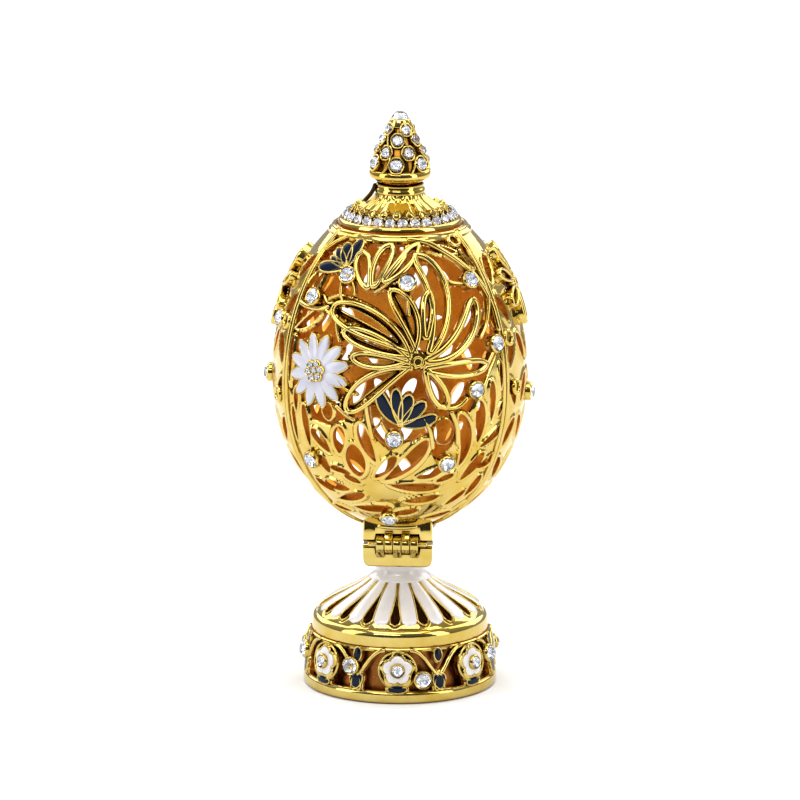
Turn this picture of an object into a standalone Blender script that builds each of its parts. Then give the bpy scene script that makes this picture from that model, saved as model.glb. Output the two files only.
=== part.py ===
"""A jewelled egg trinket box: an openwork egg with a hinged front, on a slit and pierced stand.

The table is z = 0 and the axis of the egg is x = y = 0. The front, with its hinge, looks along -Y.
An azimuth is measured from the front towards +X, in degrees. Every length is in metres.
A place on the egg is (azimuth, height), and a drawing laid on it has u along the parallel to the
right and v up along the meridian, both as lengths on the egg's surface.
"""

import math

import bmesh
import bpy
import numpy as np
from mathutils import Matrix, Vector

# Clearances between neighbouring pieces
FIT_GAP = 0.0003
STONE_GAP = 0.00015

# Stand, from the table up
RING_RADIUS = 0.0185
RING_HEIGHT = 0.0022
RING_WIDTH = 0.0027
DRUM_TOP_RADIUS = 0.0172
DRUM_HEIGHT = 0.0104
DRUM_WALL = 0.0011
RIM_RADIUS = 0.0169
RIM_HEIGHT = 0.0032
SKIRT_RADIUS = 0.0161
SKIRT_HEIGHT = 0.0082
SKIRT_STRAIGHTNESS = 0.35
SKIRT_WALL = 0.0013
NECK_RADIUS = 0.0047
CUP_RADIUS = 0.0070
STAND_HEIGHT = 0.03075
STAND_STEPS = 30

# Slits of the skirt and flowers of the drum
SLIT_COUNT = 17
SLIT_TURN = 0.4
SLIT_TOP_WIDTH = 0.0005
SLIT_FOOT_WIDTH = 0.0017
FLOWER_COUNT = 7
FLOWER_TURN = 2.5
FLOWER_RADIUS = 0.0029
FLOWER_LIFT = 0.0008
DRUM_STONE_RADIUS = 0.0016
DRUM_SLOT_LENGTH = 0.0056
DRUM_SLOT_WIDTH = 0.0018
# The crystal to the right of each flower: its share of the way to the next flower, and its height
DRUM_STONES = (
    (0.29, 0.0046), (0.35, 0.0070), (0.36, 0.0052), (0.40, 0.0066), (0.36, 0.0050), (0.47, 0.0068), (0.43, 0.0068),
)

# Egg
EGG_RADIUS = 0.0240
EGG_UPPER_HALF = 0.0339
EGG_LOWER_HALF = 0.0296
EGG_WALL = 0.0012
EGG_FOOT_RADIUS = 0.0050
EGG_TOP_RADIUS = 0.0120
EGG_STEPS = 28
EGG_RINGS = 9
DOOR_HALF_ANGLE = 60.0

# Raised work on the egg
PETAL_LIFT = 0.0010
PETAL_ROOT = 0.0006
LAYER = 0.00013
HUB_RADIUS = 0.0013
HUB_RISE = 0.0003
FAN_LIFT = 0.0008
LEAF_MARGIN = 0.0007
STONE_RADIUS = 0.0015
STONE_HEIGHT = 0.0007
BOSS_RISE = 0.0001
BOSS_MARGIN = 0.0003

# Hinge
BLOCK_HALF_WIDTH = 0.00665
BLOCK_FRONT = 0.0070
DOOR_BLOCK_DEPTH = 0.0028
CRADLE_DEPTH = 0.0050
CRADLE_HEIGHT = 0.0043
CRADLE_CORNER = 0.0015
HINGE_DROP = 0.00235
BLOCK_LAP = 0.00245
KNUCKLE_COUNT = 5
KNUCKLE_RADIUS = 0.0018
BARREL_LENGTH = 0.0081
PIN_RADIUS = 0.0006
PIN_OVERHANG = 0.0016
HINGE_STEPS = 12

# Collar and finial
COLLAR_HEIGHT = 0.0073
CROWN_RADIUS = 0.0084
COLLAR_NECK_RADIUS = 0.0048
FLUTE_COUNT = 12
FLUTE_DEPTH = 0.0005
BRACE_RADIUS = 0.00045
FINIAL_RADIUS = 0.0059
FINIAL_FOOT_RADIUS = 0.0042
FINIAL_TOP_RADIUS = 0.0020
FINIAL_HEIGHT = 0.0121
FINIAL_CELLS = 6
FINIAL_ROWS = 6
CELL_DEPTH = 0.0006
TOP_STONE_RADIUS = 0.0017
TOP_STONE_HEIGHT = 0.0011

# What follows from these sizes
EGG_CENTRE = STAND_HEIGHT + FIT_GAP + EGG_LOWER_HALF * math.sqrt(1 - (EGG_FOOT_RADIUS / EGG_RADIUS) ** 2)
EGG_TOP = EGG_CENTRE + EGG_UPPER_HALF * math.sqrt(1 - (EGG_TOP_RADIUS / EGG_RADIUS) ** 2)
COLLAR_BASE = EGG_TOP + FIT_GAP
FINIAL_BASE = COLLAR_BASE + COLLAR_HEIGHT + FIT_GAP
HINGE_HEIGHT = STAND_HEIGHT - HINGE_DROP
HINGE_AXIS = Vector((0.0, -BLOCK_FRONT, HINGE_HEIGHT))
RIM_BASE = DRUM_HEIGHT
SKIRT_FOOT = RIM_BASE + RIM_HEIGHT
SKIRT_TOP = SKIRT_FOOT + SKIRT_HEIGHT
STEP_BEYOND = 0.004
FLAT_ENOUGH = 6.0

# Gold flowers of the egg: (azimuth, height as a share between the egg's foot and top), then each
# petal as (direction in degrees from +u towards +v, length, half width)
FRONT_BLOOM = (12.8, 0.623)
FRONT_PETALS = (
    (212, 0.0150, 0.0022), (176, 0.0112, 0.0014), (150, 0.0172, 0.0021), (127, 0.0138, 0.0014),
    (107, 0.0128, 0.0016), (84, 0.0118, 0.0012), (66, 0.0165, 0.0020), (40, 0.0152, 0.0018),
    (16, 0.0132, 0.0017), (-12, 0.0130, 0.0019), (-58, 0.0098, 0.0016),
)
CREST_BLOOM = (-12.5, 0.835)
CREST_PETALS = ((122, 0.0058, 0.0012), (93, 0.0072, 0.0012), (66, 0.0086, 0.0013), (38, 0.0078, 0.0012))
# A fan is (azimuth, height share, first direction, last direction, petals, length)
FANS = ((-30.1, 0.895, 85, 205, 5, 0.0062), (4.1, 0.424, 5, 129, 5, 0.0064))
DAISY = (-37.5, 0.585)
DAISY_PETALS = 12
DAISY_LENGTH = 0.0071
SIDE_BLOOMS = ((94.0, 0.80), (-98.0, 0.78), (180.0, 0.56))
SIDE_PETALS = 8
SIDE_PETAL_LENGTH = 0.0082
SIDE_LIFT = 0.0020
SIDE_SLOTS = 4
VALLEY_SHARE = 0.52

# Pierced leaves of the door's lower part: (azimuth, height share, direction, length, half width)
DOOR_LEAVES = (
    (-35.5, 0.348, 120, 0.0044, 0.0013), (-26.0, 0.362, 105, 0.0046, 0.0010),
    (-18.5, 0.300, 95, 0.0058, 0.0014), (-10.5, 0.360, 76, 0.0068, 0.0013),
    (-31.0, 0.252, 150, 0.0036, 0.0009), (-33.0, 0.180, 205, 0.0044, 0.0009),
    (-22.0, 0.150, 235, 0.0040, 0.0009), (-4.0, 0.274, 35, 0.0054, 0.0012),
    (9.0, 0.296, 28, 0.0084, 0.0017), (23.0, 0.256, 10, 0.0046, 0.0010),
    (8.0, 0.190, -12, 0.0098, 0.0012), (8.0, 0.135, -25, 0.0058, 0.0011),
    (35.8, 0.365, 100, 0.0080, 0.0014), (45.0, 0.405, 80, 0.0064, 0.0010),
    (53.0, 0.462, 78, 0.0070, 0.0009), (51.0, 0.345, 60, 0.0050, 0.0012),
    (42.0, 0.262, 45, 0.0056, 0.0012), (52.0, 0.262, 50, 0.0036, 0.0010),
    (40.0, 0.150, 15, 0.0042, 0.0010), (23.2, 0.405, 90, 0.0046, 0.0019),
    (-20.0, 0.470, 60, 0.0050, 0.0014), (-7.0, 0.520, 90, 0.0036, 0.0012),
    (29.0, 0.520, 100, 0.0040, 0.0012), (-48.0, 0.730, 70, 0.0050, 0.0013),
    (37.0, 0.880, 120, 0.0060, 0.0011),
    (48.0, 0.690, 80, 0.0048, 0.0010), (-52.0, 0.300, 100, 0.0040, 0.0011),
)
LEAF_COLUMNS = 9
LEAF_ROWS = (0.17, 0.34, 0.52, 0.70, 0.87)
LEAF_LENGTH = 0.0082
LEAF_HALF_WIDTH = 0.0014

# Crystals of the egg: (azimuth, height share)
DOOR_STONES = (
    (8.0, 0.863), (46.5, 0.856), (53.5, 0.655), (39.3, 0.522), (26.9, 0.286), (-4.3, 0.082),
    (-44.2, 0.276), (-46.0, 0.800), (1.4, 0.378), (-27.3, 0.877),
)
SHELL_STONES = ((-71.4, 0.702), (-88.0, 0.50), (88.0, 0.45), (120.0, 0.655), (-120.0, 0.655), (180.0, 0.80))

model = None
tools = None


def fresh_start():
    global model, tools
    for thing in list(bpy.data.objects):
        bpy.data.objects.remove(thing, do_unlink=True)
    model = bpy.data.collections.new("jewelled_egg_trinket_box")
    tools = bpy.data.collections.new("cutters")
    bpy.context.scene.collection.children.link(model)
    bpy.context.scene.collection.children.link(tools)


def finish(name, colour, roughness, metallic):
    material = bpy.data.materials.new(name)
    material.use_nodes = True
    shader = material.node_tree.nodes["Principled BSDF"]
    shader.inputs["Base Color"].default_value = (*colour, 1.0)
    shader.inputs["Roughness"].default_value = roughness
    shader.inputs["Metallic"].default_value = metallic
    return material


def new_object(name, mesh, collection=None):
    thing = bpy.data.objects.new(name, mesh)
    (collection or model).objects.link(thing)
    if collection is not None and collection is not model:
        thing.hide_render = True
        thing.display_type = "WIRE"
    return thing


def mesh_of(name, points, faces):
    mesh = bpy.data.meshes.new(name)
    mesh.from_pydata([tuple(map(float, p)) for p in points], [], faces)
    shape = bmesh.new()
    shape.from_mesh(mesh)
    bmesh.ops.remove_doubles(shape, verts=shape.verts, dist=0.000001)
    bmesh.ops.triangulate(shape, faces=[f for f in shape.faces if len(f.verts) > 3])
    bmesh.ops.recalc_face_normals(shape, faces=shape.faces)
    shape.to_mesh(mesh)
    shape.free()
    return mesh


def boolean(target, operation, collection=None, tool=None):
    change = target.modifiers.new(operation.lower(), "BOOLEAN")
    change.operation = operation
    change.solver = "EXACT"
    if collection is not None:
        change.operand_type = "COLLECTION"
        change.collection = collection
    else:
        change.object = tool
    return change


def dissolve(target, degrees):
    """Joins faces that the cuts have split but that are still as good as flat."""
    plain = target.modifiers.new("dissolve", "DECIMATE")
    plain.decimate_type = "DISSOLVE"
    plain.angle_limit = math.radians(degrees)


def tool_set(name):
    group = bpy.data.collections.new(name)
    tools.children.link(group)
    return group


def smooth(thing, angle=40.0):
    thing.data.shade_smooth()
    thing.data.set_sharp_from_angle(angle=math.radians(angle))


def dress(thing, material):
    thing.data.materials.clear()
    thing.data.materials.append(material)
    return thing


# Shapes of the egg's surface

HALF_TURN = np.linspace(-math.pi / 2, math.pi / 2, 721)


def egg_half(angle):
    return np.where(np.asarray(angle) > 0, EGG_UPPER_HALF, EGG_LOWER_HALF)


MERIDIAN_RADII = EGG_RADIUS * np.cos(HALF_TURN)
MERIDIAN_HEIGHTS = EGG_CENTRE + egg_half(HALF_TURN) * np.sin(HALF_TURN)
MERIDIAN_LENGTHS = np.concatenate(
    [[0.0], np.cumsum(np.hypot(np.diff(MERIDIAN_RADII), np.diff(MERIDIAN_HEIGHTS)))]
)


def height_at(share):
    """A height given as a share of the way from the egg's foot to its top."""
    foot = STAND_HEIGHT + FIT_GAP
    return foot + share * (EGG_TOP - foot)


def latitude(height):
    offset = np.asarray(height) - EGG_CENTRE
    half = np.where(offset > 0, EGG_UPPER_HALF, EGG_LOWER_HALF)
    return np.arcsin(np.clip(offset / half, -1, 1))


def egg_point(azimuth, angle, lift):
    """The point at a latitude angle of the two half ellipses, lifted along the outward normal."""
    azimuth, angle, lift = np.broadcast_arrays(np.radians(azimuth), angle, lift)
    half = egg_half(angle)
    across, up = half * np.cos(angle), EGG_RADIUS * np.sin(angle)
    length = np.hypot(across, up)
    radius = EGG_RADIUS * np.cos(angle) + lift * across / length
    height = EGG_CENTRE + half * np.sin(angle) + lift * up / length
    return np.stack([radius * np.sin(azimuth), -radius * np.cos(azimuth), height], axis=-1)


def laid(centre, drawing, lift):
    """A drawing's (u, v) points, laid on the egg round a centre and lifted off its surface."""
    drawing = np.asarray(drawing, float)
    start = np.interp(latitude(height_at(centre[1])), HALF_TURN, MERIDIAN_LENGTHS)
    angle = np.interp(start + drawing[:, 1], MERIDIAN_LENGTHS, HALF_TURN)
    radius = EGG_RADIUS * np.cos(angle)
    return egg_point(centre[0] + np.degrees(drawing[:, 0] / radius), angle, lift)


def strip(name, centre, spine, half_width, low, high, collection):
    """A strip that follows the egg: at each point of its spine a four-cornered section."""
    spine = np.asarray(spine, float)
    along = np.gradient(spine, axis=0)
    along /= np.linalg.norm(along, axis=1)[:, None]
    side = np.stack([-along[:, 1], along[:, 0]], axis=1) * np.asarray(half_width)[:, None]
    rows = [laid(centre, spine + side, low), laid(centre, spine + side, high),
            laid(centre, spine - side, high), laid(centre, spine - side, low)]
    count = len(spine)
    points = np.stack(rows, axis=1).reshape(-1, 3)
    faces = [(0, 1, 2, 3), tuple(4 * (count - 1) + k for k in (3, 2, 1, 0))]
    for n in range(count - 1):
        for k in range(4):
            m = (k + 1) % 4
            faces.append((4 * n + k, 4 * n + 4 + k, 4 * n + 4 + m, 4 * n + m))
    return new_object(name, mesh_of(name, points, faces), collection)


def leaf_spine(direction, start, length, bend=0.0, count=4):
    """Points from start to length along a direction, which turns by bend degrees on the way."""
    share = np.linspace(0.0, 1.0, count)
    turn = np.radians(direction + bend * (share - 0.5))
    step = (length - start) * share
    return np.stack([(start + step) * np.cos(turn), (start + step) * np.sin(turn)], axis=1)


LEAF_WIDTHS = np.array([0.16, 0.92, 1.0, 0.30])
LENS_WIDTHS = np.array([0.0, 1.0, 1.0, 0.0])


def petal(name, centre, direction, length, half_width, lift, raised, openings):
    """A raised petal with a rounded end, and the leaf that is pierced through it."""
    spine = leaf_spine(direction, PETAL_ROOT, length)
    strip(name, centre, spine, half_width * LEAF_WIDTHS + LEAF_MARGIN / 2, -EGG_WALL / 2, lift, raised)
    if openings is not None:
        inner = leaf_spine(direction, 0.34 * length, length - LEAF_MARGIN)
        width = (half_width - LEAF_MARGIN / 2) * LENS_WIDTHS
        strip(name + "_slot", centre, inner, width, -STEP_BEYOND, STEP_BEYOND, openings)


def pierced_leaf(name, centre, direction, length, half_width, openings):
    """A lens-shaped opening through the shell, centred on its place."""
    spine = leaf_spine(direction, -length / 2, length / 2)
    strip(name, centre, spine, half_width * LENS_WIDTHS, -STEP_BEYOND, STEP_BEYOND, openings)


def star(name, centre, directions, reaches, lift, collection, closed=True):
    """A raised flower or fan: its heart and its rim of tips and valleys, laid on the egg."""
    turn = np.radians(directions)
    rim = np.stack([reaches * np.cos(turn), reaches * np.sin(turn)], axis=1)
    drawing = np.vstack([[0.0, 0.0], rim])
    points = np.vstack([laid(centre, drawing, lift), laid(centre, drawing, -EGG_WALL / 2)])
    count, low = len(rim), len(rim) + 1
    faces = []
    for n in range(1, count + 1 if closed else count):
        m = n % count + 1
        faces += [(0, n, m), (low, low + m, low + n), (n, low + n, low + m), (n, low + m, m)]
    if not closed:
        faces += [(0, low, 1), (1, low, low + 1), (0, count, low), (low, count, low + count)]
    return new_object(name, mesh_of(name, points, faces), collection)


def round_flower(name, centre, petals, length, lift, collection):
    """A star all the way round, its first petal half a step from the right."""
    directions = 360.0 * (np.arange(2 * petals) + 0.5) / (2 * petals)
    reaches = length * np.where(np.arange(2 * petals) % 2, VALLEY_SHARE, 1.0)
    star(name, centre, directions, reaches, lift, collection)


def fan(name, place, collection):
    """A half flower, its petals spread between two directions."""
    azimuth, share, first, last, count, length = place
    directions = np.linspace(first, last, 2 * count - 1)
    reaches = length * np.where(np.arange(2 * count - 1) % 2, VALLEY_SHARE, 1.0)
    star(name, (azimuth, share), directions, reaches, FAN_LIFT, collection, closed=False)


def turned(name, profile, steps, collection=None):
    """A profile of (radius, height) points, outer side first and top to bottom, turned round Z."""
    mesh = bpy.data.meshes.new(name)
    points = [(float(r), 0.0, float(z)) for r, z in profile]
    closed = profile[0][0] > 0 or profile[-1][0] > 0
    count = len(points)
    edges = [(n, n + 1) for n in range(count - 1)] + ([(count - 1, 0)] if closed else [])
    mesh.from_pydata(points, edges, [])
    thing = new_object(name, mesh, collection)
    screw = thing.modifiers.new("turned", "SCREW")
    screw.steps = screw.render_steps = steps
    screw.use_merge_vertices = True
    screw.merge_threshold = 0.00001
    return thing


def box(name, low, high, collection=None):
    low, high = Vector(low), Vector(high)
    shape = bmesh.new()
    bmesh.ops.create_cube(shape, size=1.0)
    bmesh.ops.scale(shape, vec=high - low, verts=shape.verts)
    bmesh.ops.translate(shape, vec=(low + high) / 2, verts=shape.verts)
    mesh = bpy.data.meshes.new(name)
    shape.to_mesh(mesh)
    shape.free()
    return new_object(name, mesh, collection)


def rod_along_x(name, radius, start, end, collection=None, steps=HINGE_STEPS):
    """A cylinder on the hinge's axis, from one x to another."""
    shape = bmesh.new()
    turn = Matrix.Rotation(math.radians(90.0), 4, "Y")
    place = Matrix.Translation(HINGE_AXIS + Vector(((start + end) / 2, 0.0, 0.0)))
    bmesh.ops.create_cone(shape, cap_ends=True, segments=steps, radius1=radius, radius2=radius,
                          depth=end - start, matrix=place @ turn)
    mesh = bpy.data.meshes.new(name)
    shape.to_mesh(mesh)
    shape.free()
    return new_object(name, mesh, collection)


def frame_on(point, outward):
    """A matrix whose Z looks outward at a point, with its Y as near to up as it can be."""
    outward = Vector(outward).normalized()
    right = Vector((0.0, 0.0, 1.0)).cross(outward).normalized()
    up = outward.cross(right)
    return Matrix.Translation(Vector(point)) @ Matrix((right, up, outward)).transposed().to_4x4()


def disc_mesh(name, radius, low, high, sides):
    shape = bmesh.new()
    bmesh.ops.create_cone(shape, cap_ends=True, segments=sides, radius1=radius, radius2=radius,
                          depth=high - low, matrix=Matrix.Translation((0, 0, (low + high) / 2)))
    mesh = bpy.data.meshes.new(name)
    shape.to_mesh(mesh)
    shape.free()
    return mesh


def crystal_mesh(name, radius, height):
    """A round-cut stone of eight sides: a flat table, sloping facets and a flat back."""
    shape = bmesh.new()
    bmesh.ops.create_cone(shape, cap_ends=True, segments=8, radius1=radius, radius2=0.55 * radius,
                          depth=height, matrix=Matrix.Translation((0, 0, height / 2)))
    mesh = bpy.data.meshes.new(name)
    shape.to_mesh(mesh)
    shape.free()
    return mesh


def egg_frame(azimuth, share, lift):
    angle = latitude(height_at(share))
    inner, outer = egg_point(azimuth, angle, 0.0), egg_point(azimuth, angle, 0.001)
    return frame_on(egg_point(azimuth, angle, lift), outer - inner)


# Pieces

def egg_shell(name):
    """The whole egg's wall: two half ellipses outside, and the same lifted inwards by the wall."""
    start, end = latitude(EGG_TOP), latitude(STAND_HEIGHT + FIT_GAP)
    angles = np.linspace(float(start), float(end), EGG_RINGS)
    outer = egg_point(90.0, angles, 0.0)
    inner = egg_point(90.0, angles[::-1], -EGG_WALL)
    profile = [(p[0], p[2]) for p in outer] + [(p[0], p[2]) for p in inner]
    return turned(name, profile, EGG_STEPS)


def wedge(name, back, collection):
    """A wedge as wide as the door, its edge on the axis moved back, so that its faces leave a gap."""
    reach = 4 * EGG_RADIUS
    half = math.radians(DOOR_HALF_ANGLE)
    apex = -back / math.sin(half)
    corner = (reach * math.sin(half), -reach * math.cos(half))
    ground = [(0.0, -apex), (corner[0], corner[1] - apex), (0.0, -2 * reach), (-corner[0], corner[1] - apex)]
    height = 2 * EGG_TOP
    points = [(x, y, -STEP_BEYOND) for x, y in ground] + [(x, y, height) for x, y in ground]
    faces = [(0, 1, 2, 3), (7, 6, 5, 4)] + [(n, n + 4, (n + 1) % 4 + 4, (n + 1) % 4) for n in range(4)]
    return new_object(name, mesh_of(name, points, faces), collection)


def boss(name, azimuth, share, collection, radius=STONE_RADIUS + BOSS_MARGIN, height=PETAL_LIFT + BOSS_RISE):
    """The round seat under a crystal, or the round heart of a flower, sunk into the wall."""
    mesh = disc_mesh(name, radius, -0.7 * EGG_WALL, height, 7)
    mesh.transform(egg_frame(azimuth, share, 0.0))
    return new_object(name, mesh, collection)


def knuckle_span(index):
    width = BARREL_LENGTH / KNUCKLE_COUNT
    start = -BARREL_LENGTH / 2 + index * width
    return start, start + width


def hinge_leaf(raised, openings, own, others, name):
    """The knuckles of one leaf, the room for the other leaf's knuckles, and the bore."""
    for index in own:
        start, end = knuckle_span(index)
        rod_along_x(f"{name}_knuckle_{index}", KNUCKLE_RADIUS, start + FIT_GAP / 2, end - FIT_GAP / 2, raised)
    for index in others:
        start, end = knuckle_span(index)
        rod_along_x(f"{name}_room_{index}", KNUCKLE_RADIUS + FIT_GAP, start - FIT_GAP / 2,
                    end + FIT_GAP / 2, openings)
    reach = BLOCK_HALF_WIDTH + STEP_BEYOND
    rod_along_x(f"{name}_bore", PIN_RADIUS + FIT_GAP, -reach, reach, openings, steps=8)


def egg_door(gold):
    door = egg_shell("egg_front_door")
    raised, openings = tool_set("door_raised"), tool_set("door_openings")
    shape = tool_set("door_shape")
    wedge("door_wedge", -FIT_GAP / 2, shape)
    boolean(door, "INTERSECT", tool=shape.objects[0])
    for index, (direction, length, width) in enumerate(FRONT_PETALS):
        lift = PETAL_LIFT - LAYER * (index % 3)
        petal(f"front_petal_{index}", FRONT_BLOOM, direction, length, width, lift, raised, openings)
    for index, (direction, length, width) in enumerate(CREST_PETALS):
        lift = PETAL_LIFT - LAYER * (index % 2)
        petal(f"crest_petal_{index}", CREST_BLOOM, direction, length, width, lift, raised, openings)
    for index, (azimuth, share) in enumerate((FRONT_BLOOM, CREST_BLOOM, DAISY)):
        boss(f"door_hub_{index}", azimuth, share, raised, HUB_RADIUS, PETAL_LIFT + HUB_RISE)
    for index, place in enumerate(FANS):
        fan(f"fan_{index}", place, raised)
    round_flower("daisy", DAISY, DAISY_PETALS, DAISY_LENGTH, FAN_LIFT, raised)
    for index, (azimuth, share, direction, length, width) in enumerate(DOOR_LEAVES):
        pierced_leaf(f"door_leaf_{index}", (azimuth, share), direction, length, width, openings)
    for index, (azimuth, share) in enumerate(DOOR_STONES):
        boss(f"door_boss_{index}", azimuth, share, raised)
    box("door_block", (-BLOCK_HALF_WIDTH, -BLOCK_FRONT, HINGE_HEIGHT + FIT_GAP),
        (BLOCK_HALF_WIDTH, -BLOCK_FRONT + DOOR_BLOCK_DEPTH, STAND_HEIGHT + BLOCK_LAP), raised)
    hinge_leaf(raised, openings, (1, 3), (0, 2, 4), "door")
    boolean(door, "UNION", collection=raised)
    boolean(door, "DIFFERENCE", collection=openings)
    dissolve(door, FLAT_ENOUGH)
    return dress(door, gold)


def egg_back(gold):
    shell = egg_shell("egg_back_shell")
    raised, openings = tool_set("shell_raised"), tool_set("shell_openings")
    shape = tool_set("shell_shape")
    wedge("shell_wedge", FIT_GAP / 2, shape)
    boolean(shell, "DIFFERENCE", tool=shape.objects[0])
    for bloom, centre in enumerate(SIDE_BLOOMS):
        boss(f"side_hub_{bloom}", *centre, raised, HUB_RADIUS, SIDE_LIFT + HUB_RISE)
        round_flower(f"side_bloom_{bloom}", centre, SIDE_PETALS, SIDE_PETAL_LENGTH, SIDE_LIFT, raised)
        for index in range(SIDE_SLOTS):
            direction = 360.0 * (index + 0.25) / SIDE_SLOTS
            spine = leaf_spine(direction, 0.3 * SIDE_PETAL_LENGTH, 0.85 * SIDE_PETAL_LENGTH)
            strip(f"side_slot_{bloom}_{index}", centre, spine, LEAF_MARGIN * LENS_WIDTHS, -STEP_BEYOND,
                  STEP_BEYOND, openings)
    for row, share in enumerate(LEAF_ROWS):
        for column in range(LEAF_COLUMNS):
            turn = DOOR_HALF_ANGLE + (column + 0.5 + 0.5 * (row % 2)) * (360 - 2 * DOOR_HALF_ANGLE) / LEAF_COLUMNS
            if turn > 360 - DOOR_HALF_ANGLE - 9 or near_bloom(turn, share):
                continue
            narrow = math.cos(float(latitude(height_at(share))))
            direction = 90 + (28 if (row + column) % 2 else -28)
            pierced_leaf(f"shell_leaf_{row}_{column}", (turn, share), direction, LEAF_LENGTH,
                         LEAF_HALF_WIDTH * (0.45 + 0.55 * narrow), openings)
    for index, (azimuth, share) in enumerate(SHELL_STONES):
        boss(f"shell_boss_{index}", azimuth, share, raised)
    boolean(shell, "UNION", collection=raised)
    boolean(shell, "DIFFERENCE", collection=openings)
    dissolve(shell, FLAT_ENOUGH)
    return dress(shell, gold)


def near_bloom(azimuth, share):
    """Whether a pierced leaf would run into a raised flower or a crystal of the back shell."""
    place = Vector(egg_point(azimuth, latitude(height_at(share)), 0.0))
    for centre in SIDE_BLOOMS:
        if (Vector(egg_point(centre[0], latitude(height_at(centre[1])), 0.0)) - place).length < \
                SIDE_PETAL_LENGTH + LEAF_LENGTH / 2:
            return True
    for centre in SHELL_STONES:
        if (Vector(egg_point(centre[0], latitude(height_at(centre[1])), 0.0)) - place).length < \
                STONE_RADIUS + BOSS_MARGIN + LEAF_LENGTH / 2:
            return True
    return False


def stand_profile():
    """Outer side from the cup down to the table, then the inner side up to the axis."""
    ring_inner = RING_RADIUS - RING_WIDTH
    drum_foot = RING_RADIUS - 0.0003
    skirt_drop = SKIRT_RADIUS - NECK_RADIUS
    skirt = []
    for share in (0.0, 0.22, 0.48, 0.74, 1.0):
        flare = SKIRT_STRAIGHTNESS * share + (1 - SKIRT_STRAIGHTNESS) * math.sin(math.pi / 2 * share) ** 2
        skirt.append((NECK_RADIUS + skirt_drop * flare, SKIRT_TOP - SKIRT_HEIGHT * share))
    cup = [(0.0, STAND_HEIGHT), (CUP_RADIUS, STAND_HEIGHT), (CUP_RADIUS * 0.985, STAND_HEIGHT - 0.0012)]
    for share in (0.3, 0.65):
        cup.append((NECK_RADIUS + (CUP_RADIUS - NECK_RADIUS) * (1 - share) ** 1.6,
                    STAND_HEIGHT - (STAND_HEIGHT - SKIRT_TOP) * share))
    rim = [(RIM_RADIUS, SKIRT_FOOT - 0.0007), (RIM_RADIUS, RIM_BASE + 0.0004),
           (RIM_RADIUS - 0.0003, RIM_BASE)]
    drum = [(DRUM_TOP_RADIUS, RIM_BASE - 0.0002), (drum_foot, RING_HEIGHT)]
    ring = [(RING_RADIUS, RING_HEIGHT - 0.0003), (RING_RADIUS, 0.0), (ring_inner, 0.0),
            (ring_inner, RING_HEIGHT)]
    hollow = [(drum_foot - DRUM_WALL, RING_HEIGHT + 0.0002), (DRUM_TOP_RADIUS - DRUM_WALL, RIM_BASE - 0.0002),
              (RIM_RADIUS - 0.0022, RIM_BASE)]
    for radius, height in skirt[::-1]:
        if radius - SKIRT_WALL * 0.6 > 0.5 * NECK_RADIUS + 0.0012:
            hollow.append((radius - SKIRT_WALL * 0.75, height - SKIRT_WALL))
    hollow.append((0.0, SKIRT_TOP - SKIRT_WALL))
    return cup + skirt + rim + drum + ring + hollow


def radial_slot(name, inner, outer, inner_width, outer_width, low, high, turn, collection):
    """A slit seen from above: narrow near the axis and wide outside, cut straight down."""
    outline = [(-inner_width / 2, -inner), (-outer_width / 2, -outer), (outer_width / 2, -outer),
               (inner_width / 2, -inner)]
    points = [(x, y, low) for x, y in outline] + [(x, y, high) for x, y in outline]
    faces = [(0, 1, 2, 3), (7, 6, 5, 4)] + [(n, n + 4, (n + 1) % 4 + 4, (n + 1) % 4) for n in range(4)]
    mesh = mesh_of(name, points, faces)
    mesh.transform(Matrix.Rotation(math.radians(turn), 4, "Z"))
    return new_object(name, mesh, collection)


def drum_radius(height):
    share = (height - RING_HEIGHT) / (RIM_BASE - RING_HEIGHT)
    return RING_RADIUS + (DRUM_TOP_RADIUS - RING_RADIUS) * share


def drum_prism(name, turn, height, outline, low, high, collection):
    """A flat outline of (across, up) points, made a prism that looks outward from the drum."""
    radius = drum_radius(height)
    count = len(outline)
    points = [(x, y, low) for x, y in outline] + [(x, y, high) for x, y in outline]
    faces = [tuple(range(count)), tuple(range(2 * count - 1, count - 1, -1))]
    faces += [(n, n + count, (n + 1) % count + count, (n + 1) % count) for n in range(count)]
    mesh = mesh_of(name, points, faces)
    angle = math.radians(turn)
    outward = Vector((math.sin(angle), -math.cos(angle), 0.0))
    mesh.transform(frame_on(outward * radius + Vector((0, 0, height)), outward))
    return new_object(name, mesh, collection)


def flower_outline(radius, petals=5, points_each=2):
    """A five-petalled flower: the radius swells and shrinks once for each petal."""
    outline = []
    for n in range(petals * points_each):
        angle = 2 * math.pi * n / (petals * points_each)
        swell = 0.80 + 0.20 * math.cos(petals * (angle - math.pi / 2))
        outline.append((radius * swell * math.cos(angle), radius * swell * math.sin(angle)))
    return outline


def lens_outline(length, width, count=3):
    """Two arcs that meet in points, standing upright."""
    right = [(width / 2 * math.cos(math.pi * (n / count - 0.5)), length / 2 * math.sin(math.pi * (n / count - 0.5)))
             for n in range(count + 1)]
    return right + [(-x, y) for x, y in right[-2:0:-1]]


def drum_stone_place(index):
    """The bezel crystal to the right of a flower: its azimuth and height."""
    share, height = DRUM_STONES[index % len(DRUM_STONES)]
    return FLOWER_TURN + 360.0 * (index + share) / FLOWER_COUNT, height


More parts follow.
